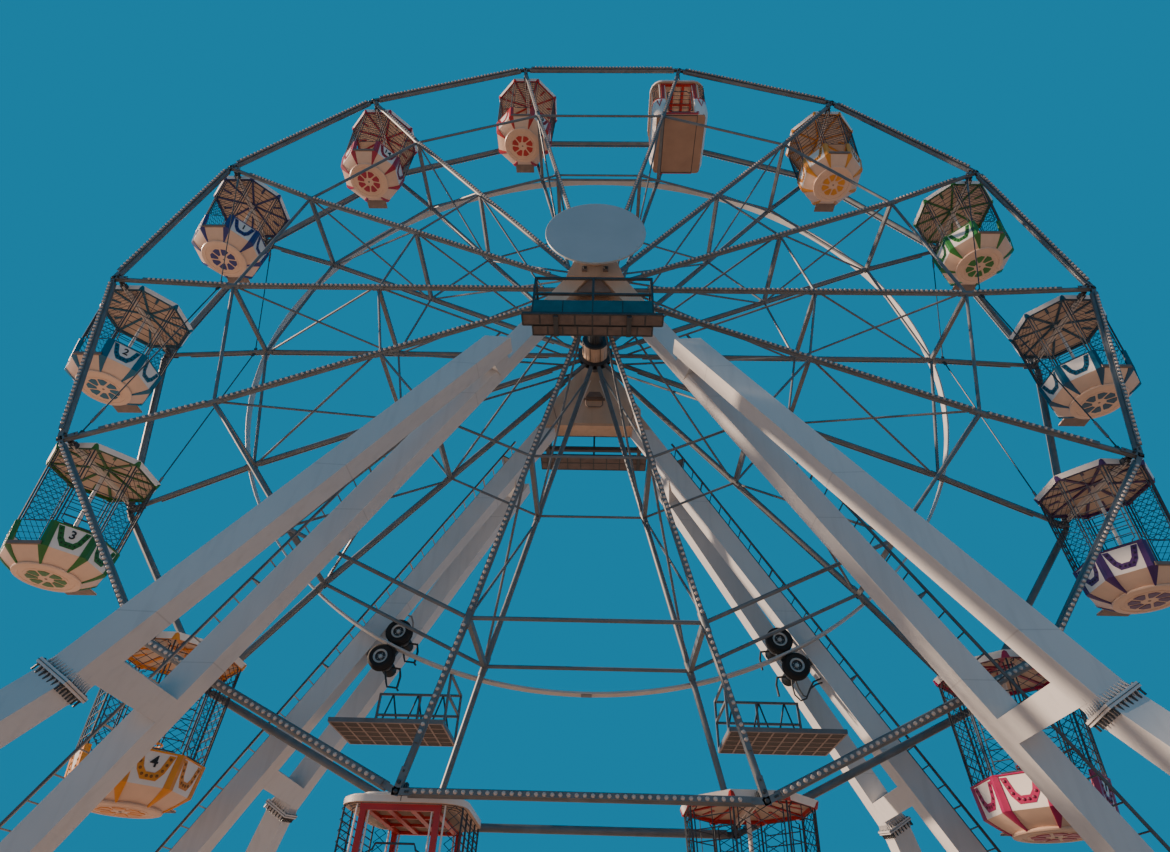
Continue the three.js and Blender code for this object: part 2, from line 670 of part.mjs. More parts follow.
function octagonGondola() {
  const turn = Math.PI / 8;
  const slope = (TUB_TOP_CORNER - TUB_KNEE_CORNER) / (TUB_TOP - TUB_KNEE);
  const floorCorner = TUB_KNEE_CORNER + slope * (TUB_FLOOR - TUB_KNEE) - TUB_WALL;
  let tub = turnedUpright([
    [0, TUB_BOTTOM], [515, TUB_BOTTOM], [TUB_BELLY_CORNER, TUB_BOTTOM + 20], [TUB_KNEE_CORNER, TUB_KNEE],
    [TUB_TOP_CORNER, TUB_TOP], [TUB_TOP_CORNER - TUB_WALL, TUB_TOP], [floorCorner, TUB_FLOOR], [0, TUB_FLOOR],
  ], 8, turn);
  tub = tub.subtract(block(-DOOR_HALF_WIDTH, DOOR_HALF_WIDTH, -1000, -580, TUB_FLOOR, TUB_TOP + 100));
  const list = [tub];
  list.push(block(-260, 260, -790, -620, TUB_FLOOR - 30, TUB_FLOOR + 15));
  list.push(block(-270, 270, 540, 900, TUB_FLOOR - 110, TUB_FLOOR - 75));
  const e = ROOF_EDGE;
  list.push(turnedUpright([
    [0, e + ROOF_RISE - 45], [ROOF_CORNER - 40, e + 50], [ROOF_CORNER - 40, e], [ROOF_CORNER, e],
    [ROOF_CORNER, e + ROOF_FASCIA], [0, e + ROOF_RISE],
  ], 8, turn));
  for (let i = 0; i < 8; i += 1) {
    const a = turn + i * Math.PI / 4;
    const direction = vec(Math.cos(a), Math.sin(a), 0);
    const foot = direction.clone().multiplyScalar(CAGE_CORNER).setZ(TUB_TOP - 20);
    const top = direction.clone().multiplyScalar(ROOF_CORNER - 21).setZ(e + 20);
    list.push(bar(foot, top, CAGE_POST, CAGE_POST, direction));
  }
  list.push(rod(vec(0, 0, TUB_FLOOR - 20), vec(0, 0, e + ROOF_RISE - 20), 30, 4));
  list.push(suspensionBeam());
  return fuse(list);
}

function roundedRectangle(halfX, halfY, radius) {
  const points = [];
  for (const [sx, sy, start] of [[1, 1, 0], [-1, 1, 90], [-1, -1, 180], [1, -1, 270]]) {
    for (let i = 0; i <= 2; i += 1) {
      const a = radians(start + i * 45);
      const x = sx * (halfX - radius) + radius * Math.cos(a);
      const y = sy * (halfY - radius) + radius * Math.sin(a);
      points.push([x, y]);
    }
  }
  return points;
}

function boxGondola() {
  const w = BOX_HALF_WIDTH;
  const b = BOX_BOTTOM_HALF_WIDTH;
  const t = TUB_WALL;
  const floor = BOX_BOTTOM + 60;
  const outer = [[-b, BOX_BOTTOM], [b, BOX_BOTTOM], [w - 30, -1890], [w, -1560], [w - 30, BOX_TOP],
    [-w + 30, BOX_TOP], [-w, -1560], [-w + 30, -1890]];
  const inner = [[-b + 10, floor], [b - 10, floor], [w - 30 - t, -1880], [w - t, -1550],
    [w - 30 - t, BOX_TOP + 150], [-w + 30 + t, BOX_TOP + 150], [-w + t, -1550], [-w + 30 + t, -1880]];
  const shell = slab(outer, -BOX_HALF_LENGTH, BOX_HALF_LENGTH)
    .intersect(prism(roundedRectangle(w, BOX_HALF_LENGTH, 260), -2500, 0));
  const hollow = slab(inner, -BOX_HALF_LENGTH + t, BOX_HALF_LENGTH - t)
    .intersect(prism(roundedRectangle(w - t, BOX_HALF_LENGTH - t, 240), -2500, 0));
  const door = block(-450, 450, -1000, -700, floor, BOX_TOP + 150);
  const list = [shell.subtract(hollow).subtract(door)];
  const rw = BOX_ROOF_HALF_WIDTH;
  const rl = BOX_ROOF_HALF_LENGTH;
  const e = BOX_ROOF_EDGE;
  list.push(prism(roundedRectangle(rw, rl, 300), e, e + 85));
  list.push(prism(roundedRectangle(rw - 200, rl - 200, 220), e + 80, e + 168));
  for (const y of [-BOX_POST_Y, BOX_POST_Y]) {
    for (const x of [-BOX_POST_X, BOX_POST_X]) {
      list.push(block(x - 25, x + 25, y - 25, y + 25, BOX_BOTTOM + 30, e + 50));
    }
    list.push(block(-BOX_POST_X, BOX_POST_X, y - 20, y + 20, e - 130, e - 80));
  }
  list.push(suspensionBeam());
  return fuse(list);
}

const octagon = octagonGondola();
const boxed = boxGondola();
for (let n = 1; n <= GONDOLA_COUNT; n += 1) {
  const p = onRay(nodeAngle(n), PIVOT_RADIUS, 0);
  const body = (BOX_GONDOLAS.includes(n) ? boxed : octagon).translate([p.x, p.y, p.z]);
  place(`gondola_${label(n)}`, body, TRIM_COLOURS[n - 1], 0.1, 0.5);
}

export default group;
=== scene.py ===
"""Ferris wheel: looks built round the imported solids, in metres, +Z up, front towards -Y."""

import math

import bmesh
import bpy
from mathutils import Matrix, Vector


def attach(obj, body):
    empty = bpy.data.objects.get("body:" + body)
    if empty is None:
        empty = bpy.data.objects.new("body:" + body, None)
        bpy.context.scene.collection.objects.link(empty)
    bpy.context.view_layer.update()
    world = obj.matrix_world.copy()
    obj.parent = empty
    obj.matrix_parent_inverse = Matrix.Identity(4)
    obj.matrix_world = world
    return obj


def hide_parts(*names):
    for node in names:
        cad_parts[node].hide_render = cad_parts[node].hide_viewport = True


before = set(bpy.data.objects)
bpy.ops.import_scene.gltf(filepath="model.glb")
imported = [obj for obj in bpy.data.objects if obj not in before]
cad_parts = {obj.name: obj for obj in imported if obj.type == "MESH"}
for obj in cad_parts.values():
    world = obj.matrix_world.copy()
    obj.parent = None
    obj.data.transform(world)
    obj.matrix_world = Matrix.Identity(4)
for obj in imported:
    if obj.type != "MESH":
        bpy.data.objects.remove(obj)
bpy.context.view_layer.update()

# Driving dimensions, the same as in the solids
HUB_HEIGHT = 13.56
COUNT = 14
FIRST_ANGLE = 154.286
RIM_RADIUS = 10.31
PIVOT_RADIUS = 10.2
RING_A_RADIUS = 7.803
RING_B_RADIUS = 4.653
RIM_DEPTH = 1.095
SPOKE_DEPTH = 0.942
RIM_TUBE = 0.062
RIM_JOINT_TUBE = 0.038
RIM_JOINT_LENGTH = 0.15
SPOKE_TUBE = 0.05
RING_A_TUBE = 0.033
RING_B_TUBE = 0.025
DIAGONAL_TUBE = 0.023
TIE_ROD = 0.012
TIE_OUTER = 10.05
TIE_INNER = 8.08
DRUM_RADIUS = 0.3
SLEEVE_RADIUS = 0.17
SLEEVE_HALF = 0.44
FLANGE_RADIUS = 0.4
DRIVE_RING_RADIUS = 7.955
DRIVE_RING_THICKNESS = 0.04
DRIVE_RING_SIDES = 70
DRIVE_RING_FRONT = 1.12
DRIVE_RING_BACK = 1.298
TYRE_RADIUS = 0.232
TYRE_DEPTH = 1.235
BOX_GONDOLAS = (5, 12)
RODS_FROM_RIM = (1, 8)
RODS_FROM_RING = (2, 9)
BULB_PITCH = 0.1
BULB_RADIUS = 0.03


def vec(x, y, z):
    return Vector((x, y, z))


HUB = vec(0, 0, HUB_HEIGHT)
UP = vec(0, 0, 1)
RIGHT = vec(1, 0, 0)
BACK = vec(0, 1, 0)

# Camera, solved from the regular wheel in the photograph; yaw, pitch and roll in degrees
IMAGE_WIDTH = 1170
IMAGE_HEIGHT = 852
FOCAL_PIXELS = 689.41
PRINCIPAL_X = 586.72
PRINCIPAL_Y = 479.07
SENSOR_MM = 36
CAMERA_ANGLES = (-1.5816, 36.6692, 1.8778)
CAMERA_PLACE = vec(0.2034, -10.3075, HUB_HEIGHT - 11.9929)
CLIP_END = 300


def add_camera():
    yaw, pitch, roll = (math.radians(a) for a in CAMERA_ANGLES)
    forward = vec(math.sin(yaw) * math.cos(pitch), math.cos(yaw) * math.cos(pitch), math.sin(pitch))
    level = vec(math.cos(yaw), -math.sin(yaw), 0)
    upright = level.cross(forward)
    x_axis = math.cos(roll) * level + math.sin(roll) * upright
    y_axis = math.cos(roll) * upright - math.sin(roll) * level
    data = bpy.data.cameras.new("camera")
    data.sensor_width = SENSOR_MM
    data.lens = FOCAL_PIXELS / IMAGE_WIDTH * SENSOR_MM
    data.shift_x = (IMAGE_WIDTH / 2 - PRINCIPAL_X) / IMAGE_WIDTH
    data.shift_y = (PRINCIPAL_Y - IMAGE_HEIGHT / 2) / IMAGE_WIDTH
    data.clip_end = CLIP_END
    camera = bpy.data.objects.new("camera", data)
    matrix = Matrix((x_axis, y_axis, -forward)).transposed().to_4x4()
    matrix.translation = CAMERA_PLACE
    camera.matrix_world = matrix
    bpy.context.scene.collection.objects.link(camera)
    bpy.context.scene.camera = camera


add_camera()


# Materials

MOTTLE_DARK = 0.3
MOTTLE_LIGHT = 0.7
LIGHT_SHARE = 0.6
STREAK_STRETCH = (9.0, 9.0, 0.5)
STREAK_START = 0.5
STREAK_FULL = 0.8
STREAK_SHADE = 0.5
SEAM_WIDTH = 0.012
SEAM_SHADE = 0.78
ROUGHNESS_SPREAD = 0.1
RELIEF_SCALE = 60
RELIEF_DEPTH = 0.003


def make_material(name, colour, rough, metal, variation, scale, bump, streaks=0.0, seams=0.0):
    """Painted or bare surface with mottling, optional vertical streaks and plate seams."""
    material = bpy.data.materials.new(name)
    material.use_nodes = True
    tree = material.node_tree

    def feed(target, inputs):
        for key, value in inputs.items():
            if isinstance(value, bpy.types.NodeSocket):
                tree.links.new(value, target.inputs[key])
            else:
                target.inputs[key].default_value = value

    def node(kind, inputs, **settings):
        made = tree.nodes.new(f"ShaderNode{kind}")
        for key, value in settings.items():
            setattr(made, key, value)
        feed(made, inputs)
        return made

    spot = node("TexCoord", {}).outputs["Object"]
    mottle = node("TexNoise", {"Scale": scale, "Detail": 6, "Vector": spot}).outputs["Fac"]
    ramp = node("ValToRGB", {"Fac": mottle})
    dark, light = ramp.color_ramp.elements
    dark.position = MOTTLE_DARK
    dark.color = (*[c * (1 - variation) for c in colour], 1)
    light.position = MOTTLE_LIGHT
    light.color = (*[min(1.0, c * (1 + variation * LIGHT_SHARE)) for c in colour], 1)
    tone = ramp.outputs["Color"]
    if streaks:
        stretched = node("Mapping", {"Scale": STREAK_STRETCH, "Vector": spot}).outputs["Vector"]
        runs = node("TexNoise", {"Scale": 1.0, "Detail": 4, "Vector": stretched}).outputs["Fac"]
        mask = node("MapRange", {"From Min": STREAK_START, "From Max": STREAK_FULL, "To Max": streaks,
                                 "Value": runs})
        shade = (*[c * STREAK_SHADE for c in colour], 1)
        tone = node("Mix", {"Factor": mask.outputs["Result"], "A": tone, "B": shade},
                    data_type="RGBA").outputs["Result"]
    if seams:
        height = node("SeparateXYZ", {"Vector": spot}).outputs["Z"]
        wrap = node("Math", {0: height, 1: seams / 2}, operation="PINGPONG").outputs["Value"]
        line = node("MapRange", {"From Max": SEAM_WIDTH, "To Min": SEAM_SHADE, "To Max": 1.0, "Value": wrap})
        tone = node("Mix", {"Factor": 1.0, "A": tone, "B": line.outputs["Result"]},
                    data_type="RGBA", blend_type="MULTIPLY").outputs["Result"]
    gloss = node("MapRange", {"To Min": max(0.05, rough - ROUGHNESS_SPREAD),
                              "To Max": min(1.0, rough + ROUGHNESS_SPREAD), "Value": mottle})
    relief = node("TexNoise", {"Scale": RELIEF_SCALE, "Vector": spot}).outputs["Fac"]
    dent = node("Bump", {"Strength": bump, "Distance": RELIEF_DEPTH, "Height": relief})
    feed(tree.nodes["Principled BSDF"], {
        "Metallic": metal, "Base Color": tone, "Roughness": gloss.outputs["Result"],
        "Normal": dent.outputs["Normal"],
    })
    return material


LEG_PAINT = make_material("leg_paint", (0.58, 0.57, 0.57), 0.42, 0.0, 0.07, 0.6, 0.1, 0.2, 2.44)
HEAD_PAINT = make_material("head_paint", (0.58, 0.41, 0.30), 0.5, 0.0, 0.14, 1.5, 0.15, 0.3)
STEEL = make_material("painted_tube", (0.145, 0.155, 0.165), 0.45, 0.1, 0.2, 5.0, 0.25, 0.2)
RING_PAINT = make_material("ring_paint", (0.47, 0.45, 0.44), 0.45, 0.05, 0.12, 2.5, 0.2)
DARK_STEEL = make_material("dark_steel", (0.050, 0.056, 0.062), 0.45, 0.3, 0.3, 6.0, 0.3)
DECK = make_material("deck_underside", (0.060, 0.048, 0.045), 0.7, 0.1, 0.3, 7.0, 0.4)
FLOOR_PANEL = make_material("floor_panel", (0.135, 0.105, 0.098), 0.7, 0.1, 0.25, 7.0, 0.4)
JOIST = make_material("deck_joist", (0.30, 0.225, 0.20), 0.6, 0.1, 0.2, 7.0, 0.3)
TOE_BOARD = make_material("toe_board", (0.022, 0.095, 0.125), 0.35, 0.0, 0.3, 4.0, 0.2)
LADDER_PAINT = make_material("ladder_paint", (0.105, 0.098, 0.098), 0.5, 0.1, 0.3, 6.0, 0.3)
DISC_PAINT = make_material("disc_paint", (0.40, 0.43, 0.46), 0.5, 0.0, 0.07, 1.2, 0.08)
BULB = make_material("bulb_cover", (0.56, 0.47, 0.42), 0.25, 0.0, 0.12, 14.0, 0.02)
RUBBER = make_material("tyre_rubber", (0.014, 0.014, 0.015), 0.85, 0.0, 0.3, 20.0, 0.5)
HUB_PAINT = make_material("hub_paint", (0.40, 0.42, 0.42), 0.4, 0.1, 0.15, 9.0, 0.1)
SHELL = make_material("shell_paint", (0.78, 0.71, 0.66), 0.35, 0.0, 0.06, 2.5, 0.06, 0.12)
# Underside of the white shell, tinted peach: painted warm shade, the ground-lit shade under the tub
BELLY_PAINTED_SHADE = make_material("belly_painted_shade", (0.70, 0.47, 0.34), 0.4, 0.0, 0.08, 2.0, 0.08, 0.12)
CEILING = make_material("ceiling_paint", (0.62, 0.45, 0.34), 0.55, 0.0, 0.12, 3.0, 0.12, 0.15)
WIRE = make_material("cage_tube", (0.052, 0.062, 0.076), 0.8, 0.0, 0.2, 12.0, 0.15)
WHITE_POST = make_material("white_post", (0.74, 0.68, 0.63), 0.4, 0.0, 0.1, 6.0, 0.1)
FLOOR_BROWN = make_material("floor_underside", (0.36, 0.22, 0.15), 0.6, 0.0, 0.12, 3.0, 0.25)
SILL = make_material("door_sill", (0.20, 0.15, 0.13), 0.6, 0.1, 0.2, 8.0, 0.25)
NUMBER = make_material("number_paint", (0.012, 0.012, 0.015), 0.45, 0.0, 0.2, 9.0, 0.05)
STAGE = make_material("stage", (0.50, 0.37, 0.29), 0.8, 0.0, 0.03, 0.5, 0.02)
TRIM_COLOURS = [
    (0.030, 0.035, 0.17), (0.004, 0.115, 0.20), (0.022, 0.14, 0.022), (0.72, 0.26, 0.015),
    (0.50, 0.018, 0.012), (0.47, 0.016, 0.018), (0.36, 0.010, 0.08), (0.065, 0.02, 0.12),
    (0.008, 0.075, 0.14), (0.03, 0.17, 0.03), (0.66, 0.26, 0.025), (0.44, 0.016, 0.012),
    (0.45, 0.018, 0.018), (0.36, 0.016, 0.045),
]
TRIMS = [make_material(f"trim_{n:02d}", c, 0.38, 0.0, 0.16, 4.0, 0.08)
         for n, c in enumerate(TRIM_COLOURS, 1)]
STUDS = [make_material(f"stud_{n:02d}", [v * 0.35 for v in c], 0.4, 0.0, 0.16, 9.0, 0.08)
         for n, c in enumerate(TRIM_COLOURS, 1)]


# Shapes

WELD_DISTANCE = 1e-5
SHORTEST_EDGE = 1e-6
SHARP_ANGLE = 40


def circle(centre, radius, count, first, second):
    """Points round a centre, from the first direction towards the second."""
    angles = [2 * math.pi * k / count for k in range(count)]
    return [centre + (first * math.cos(t) + second * math.sin(t)) * radius for t in angles]


def square_to(axis):
    """Two directions square to an axis and to each other."""
    side = RIGHT if abs(axis.x) < 0.9 else BACK
    side = (side - axis * side.dot(axis)).normalized()
    return side, axis.cross(side)


def band_faces(count):
    """Faces between two closed rows of points."""
    return [(i, (i + 1) % count, count + (i + 1) % count, count + i) for i in range(count)]


class Shape:
    """Collects faces for one piece, each face with the material it wears."""

    def __init__(self):
        self.verts = []
        self.faces = []
        self.looks = []
        self.materials = []

    def add(self, verts, faces, material):
        if material not in self.materials:
            self.materials.append(material)
        index = self.materials.index(material)
        start = len(self.verts)
        self.verts.extend(verts)
        self.faces.extend([start + i for i in face] for face in faces)
        self.looks.extend([index] * len(faces))

    def bar(self, a, b, width, depth, material, side=BACK):
        """Rectangular bar from a to b, its width along the side direction."""
        along = (b - a).normalized()
        w = (side - along * side.dot(along)).normalized() * width / 2
        d = along.cross(w).normalized() * depth / 2
        verts = [p + s * w + t * d for p in (a, b) for s, t in ((-1, -1), (1, -1), (1, 1), (-1, 1))]
        faces = [(3, 2, 1, 0), (4, 5, 6, 7), (0, 1, 5, 4), (1, 2, 6, 5), (2, 3, 7, 6), (3, 0, 4, 7)]
        self.add(verts, faces, material)

    def block(self, one, other, material):
        """Box between two opposite corners, in either order."""
        (x0, x1), (y0, y1), (z0, z1) = (sorted(pair) for pair in zip(one, other))
        y = (y0 + y1) / 2
        z = (z0 + z1) / 2
        self.bar(vec(x0, y, z), vec(x1, y, z), y1 - y0, z1 - z0, material)

    def tube(self, points, radius, sides, material, closed=False, caps=True):
        """Round tube through points, with mitred bends."""
        count = len(points)
        verts = []
        spin = None
        for i, p in enumerate(points):
            back = points[i - 1] if closed or i else p
            ahead = points[(i + 1) % count] if closed or i < count - 1 else p
            along = (ahead - back).normalized()
            if spin is None:
                spin = BACK if abs(along.y) < 0.9 else RIGHT
            spin = (spin - along * spin.dot(along)).normalized()
            verts += circle(p, radius, sides, spin, along.cross(spin))
        faces = []
        for i in range(count if closed else count - 1):
            j = (i + 1) % count
            for k in range(sides):
                m = (k + 1) % sides
                faces.append((i * sides + k, i * sides + m, j * sides + m, j * sides + k))
        if caps and not closed:
            faces.append(tuple(reversed(range(sides))))
            faces.append(tuple(range((count - 1) * sides, count * sides)))
        self.add(verts, faces, material)

    def lathe(self, profile, sides, origin, axis, materials):
        """Profile of (radius, height) turned about an axis; one material, or one for each step."""
        side, other = square_to(axis)
        for step, ends in enumerate(zip(profile, profile[1:])):
            look = materials[step] if isinstance(materials, list) else materials
            verts = []
            for radius, height in ends:
                verts += circle(origin + axis * height, max(radius, 1e-4), sides, side, other)
            self.add(verts, band_faces(sides), look)

    def plate(self, outline, thickness, material):
        """Flat outline pushed along the thickness vector."""
        count = len(outline)
        verts = list(outline) + [p + thickness for p in outline]
        faces = [tuple(reversed(range(count))), tuple(range(count, 2 * count))]
        self.add(verts, faces + band_faces(count), material)

    def grid(self, outer, inner, material):
        """Closed slab between two grids of points with the same layout."""
        rows = len(outer)
        columns = len(outer[0])
        size = rows * columns
        verts = [p for row in outer for p in row] + [p for row in inner for p in row]
        faces = []
        for i in range(rows - 1):
            for j in range(columns - 1):
                a = i * columns + j
                faces.append((a, a + 1, a + columns + 1, a + columns))
                faces.append((size + a + columns, size + a + columns + 1, size + a + 1, size + a))
        border = [(0, j) for j in range(columns)]
        border += [(i, columns - 1) for i in range(1, rows)]
        border += [(rows - 1, j) for j in range(columns - 2, -1, -1)]
        border += [(i, 0) for i in range(rows - 2, 0, -1)]
        loop = [i * columns + j for i, j in border]
        for a, b in zip(loop, loop[1:] + loop[:1]):
            faces.append((b, a, size + a, size + b))
        self.add(verts, faces, material)

    def dome(self, centre, axis, radius, height, material, sides=8):
        """Rounded head of a bolt, stud or lamp."""
        side, other = square_to(axis)
        verts = circle(centre, radius, sides, side, other)
        verts += circle(centre + axis * height * 0.6, radius * 0.8, sides, side, other)
        verts.append(centre + axis * height)
        tops = [(sides + k, sides + (k + 1) % sides, 2 * sides) for k in range(sides)]
        self.add(verts, band_faces(sides) + tops, material)

    def build(self, name, body, replaces=None, offset=None):
        mesh = bpy.data.meshes.new(name)
        verts = [v + offset for v in self.verts] if offset else self.verts
        mesh.from_pydata(verts, [], self.faces)
        mesh.polygons.foreach_set("material_index", self.looks)
        work = bmesh.new()
        work.from_mesh(mesh)
        bmesh.ops.remove_doubles(work, verts=work.verts, dist=WELD_DISTANCE)
        bmesh.ops.dissolve_degenerate(work, edges=work.edges, dist=SHORTEST_EDGE)
        bmesh.ops.recalc_face_normals(work, faces=work.faces)
        work.to_mesh(mesh)
        work.free()
        for material in self.materials:
            mesh.materials.append(material)
        mesh.polygons.foreach_set("use_smooth", [True] * len(mesh.polygons))
        mesh.set_sharp_from_angle(angle=math.radians(SHARP_ANGLE))
        mesh.update()
        piece = bpy.data.objects.new(name, mesh)
        bpy.context.scene.collection.objects.link(piece)
        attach(piece, body)
        if replaces:
            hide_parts(replaces)


def mix(a, b, t):
    return a + (b - a) * t


def on_ray(angle, radius, y):
    return vec(radius * math.cos(angle), y, radius * math.sin(angle))


def node_angle(number):
    return math.radians(FIRST_ANGLE + (number - 1) * 360 / COUNT)


def tangent_at(angle):
    return vec(-math.sin(angle), 0, math.cos(angle))


def depth_at(radius):
    flare = max(0.0, radius - RING_A_RADIUS) / (RIM_RADIUS - RING_A_RADIUS)
    return SPOKE_DEPTH + (RIM_DEPTH - SPOKE_DEPTH) * flare


# Finish of the solids that stay

def dress(names, material):
    for name in names:
        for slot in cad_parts[name].material_slots:
            slot.material = material


SIDES = (("left", -1), ("right", 1))
FACES = (("front", -1), ("back", 1))
dress([f"{f}_{s}_{k}_leg" for f, _ in FACES for s, _ in SIDES for k in ("inner", "outer")], LEG_PAINT)
dress(["front_head", "back_head"], HEAD_PAINT)
dress(["front_disc"], DISC_PAINT)
dress(["front_platform", "back_platform"], DARK_STEEL)
dress(["left_drive_platform", "right_drive_platform"], STEEL)
dress(["left_drive_unit", "right_drive_unit"], DARK_STEEL)
dress([f"{f}_{s}_ladder" for f, _ in FACES for s, _ in SIDES], LADDER_PAINT)


# Wheel: round tubes, joint plates, light strips

def light_strip(shape, a, b, lead, tail, outward):
    """Channel with round lamps along a line, lead and tail left free at its ends."""
    along = (b - a).normalized()
    start = a + along * lead
    end = b - along * tail
    across = along.cross(outward)
    shape.bar(start, end, 0.07, 0.02, STEEL, across)
    length = (end - start).length
    for i in range(int(length / BULB_PITCH)):
        centre = start + along * (i + 0.5) * BULB_PITCH + outward * 0.01
        shape.dome(centre, outward, BULB_RADIUS, 0.032, BULB, 7)


RING_END_GAP = 0.055
RIM_PLATE_OUT = 0.052
RIM_LIGHT_OUT = 0.09
SPOKE_LIGHT_OUT = 0.062
DIAGONAL_OUT = 0.024
JOINT_MARGIN = 0.085


def wheel_frame(number):
    step = 2 * math.pi / COUNT
    angle = node_angle(number)
    after = angle + step
    shape = Shape()
    lights = Shape()
    radial = on_ray(angle, 1, 0)
    for s in (-1, 1):
        outward = BACK * s

        def at(a, radius):
            return on_ray(a, radius, s * depth_at(radius))

        tip = at(angle, RIM_RADIUS)
        ahead = at(after, RIM_RADIUS)
        run = (ahead - tip).normalized()
        elbow = at(angle, RING_A_RADIUS)
        gap = run * RING_END_GAP
        shape.tube([at(angle, 0.312), elbow, tip], SPOKE_TUBE, 14, STEEL)
        shape.tube([tip + run * RIM_JOINT_LENGTH, ahead - run * RIM_JOINT_LENGTH], RIM_TUBE, 16, STEEL)
        shape.tube([tip, ahead - run * 0.06], RIM_JOINT_TUBE, 10, DARK_STEEL)
        shape.tube([elbow, at(after, RING_A_RADIUS) - gap], RING_A_TUBE, 10, STEEL)
        shape.tube([at(angle, RING_B_RADIUS), at(after, RING_B_RADIUS) - gap], RING_B_TUBE, 8, STEEL)
        for radius, half in ((RING_A_RADIUS, 0.16), (RING_B_RADIUS, 0.12)):
            shape.tube([at(angle, radius - half), at(angle, radius + half)], SPOKE_TUBE + 0.012, 14, STEEL)
        pin = [on_ray(angle, PIVOT_RADIUS, s * y) for y in (0.95, depth_at(PIVOT_RADIUS) + 0.11)]
        shape.tube(pin, 0.024, 10, DARK_STEEL)
        face = tip + outward * RIM_PLATE_OUT
        for direction, reach in ((run, 0.2), (-radial, 0.3)):
            across = direction.cross(outward)
            shape.bar(face - direction * 0.05, face + direction * reach, 0.085, 0.012, STEEL, across)
            for hole in (0.12, reach - 0.05):
                bolt = face + direction * hole + outward * 0.006
                shape.dome(bolt, outward, 0.018, 0.016, DARK_STEEL, 6)
        back_run = (at(angle - step, RIM_RADIUS) - tip).normalized()
        shape.bar(face, face + back_run * 0.2, 0.085, 0.012, STEEL, back_run.cross(outward))
        shape.dome(face + outward * 0.006, outward, 0.034, 0.03, DARK_STEEL, 12)
        out = outward * RIM_LIGHT_OUT
        light_strip(lights, tip + out, ahead + out, 0.2, 0.2, outward)
        out = outward * SPOKE_LIGHT_OUT
        light_strip(lights, at(angle, 1.1) + out, elbow + out, 0.0, 0.1, outward)
        light_strip(lights, elbow + out, tip + out, 0.1, 0.62, outward)
        rod = None
        if number in RODS_FROM_RIM:
            rod = (at(angle, TIE_OUTER), at(after, TIE_INNER))
        if number in RODS_FROM_RING:
            rod = (at(after, TIE_OUTER), at(angle, TIE_INNER))
        if rod:
            outer, inner = rod
            line = (inner - outer).normalized()
            shape.tube([outer, inner], TIE_ROD, 8, DARK_STEEL)
            shape.tube([outer + line * 0.35, outer + line * 0.72], 0.024, 8, STEEL)
            for end, toward in ((outer, line), (inner, -line)):
                across = toward.cross(outward)
                shape.bar(end - toward * 0.02, end + toward * 0.14, 0.07, 0.014, DARK_STEEL, across)
        aside = tangent_at(angle) * s * DIAGONAL_OUT
        for low, high in ((0.7, RING_B_RADIUS), (RING_B_RADIUS + JOINT_MARGIN, RING_A_RADIUS)):
            a = on_ray(angle, low, s * SPOKE_DEPTH)
            b = on_ray(angle, high - JOINT_MARGIN, -s * SPOKE_DEPTH)
            shape.tube([a + aside, b + aside], DIAGONAL_TUBE, 8, STEEL)
    for radius in (RING_A_RADIUS, RING_B_RADIUS):
        ends = [on_ray(angle, radius, s * SPOKE_DEPTH) for s in (-1, 1)]
        shape.bar(*ends, 0.08, 0.08, STEEL, radial)
    shape.build(f"wheel_frame_{number:02d}", "wheel", f"spoke_frame_{number:02d}", HUB)
    lights.build(f"wheel_lights_{number:02d}", "wheel", None, HUB)


for n in range(1, COUNT + 1):
    wheel_frame(n)


def drive_ring():
    shape = Shape()
    inside = DRIVE_RING_RADIUS - DRIVE_RING_THICKNESS / 2
    outside = DRIVE_RING_RADIUS + DRIVE_RING_THICKNESS / 2
    front = DRIVE_RING_FRONT
    back = DRIVE_RING_BACK
    edge = 0.006
    profile = [
        (inside + edge, front), (outside - edge, front), (outside, front + edge), (outside, back - edge),
        (outside - edge, back), (inside + edge, back), (inside, back - edge), (inside, front + edge),
        (inside + edge, front),
    ]
    shape.lathe(profile, 3 * DRIVE_RING_SIDES, Vector(), BACK, RING_PAINT)
    for number in range(1, COUNT + 1):
        angle = node_angle(number)
        radial = on_ray(angle, 1, 0)
        foot = on_ray(angle, RING_A_RADIUS, 1.0)
        bend = on_ray(angle, DRIVE_RING_RADIUS, 1.085)
        shape.tube([foot, bend, on_ray(angle, DRIVE_RING_RADIUS, front + 0.02)], 0.018, 8, RING_PAINT)
        shape.bar(foot - BACK * 0.004, foot + BACK * 0.01, 0.11, 0.11, DARK_STEEL, radial)
        # Splice plate half way to the next frame
        middle = angle + math.pi / COUNT
        reach = tangent_at(middle) * 0.09
        spot = on_ray(middle, outside + 0.003, (front + back) / 2)
        shape.bar(spot - reach, spot + reach, 0.14, 0.01, STEEL)
    shape.build("friction_ring", "wheel", "drive_ring", HUB)


drive_ring()

DRUM_START = SLEEVE_HALF + 0.04
FLANGE = 0.014
AXLE_RADIUS = 0.11
AXLE_END = 1.79


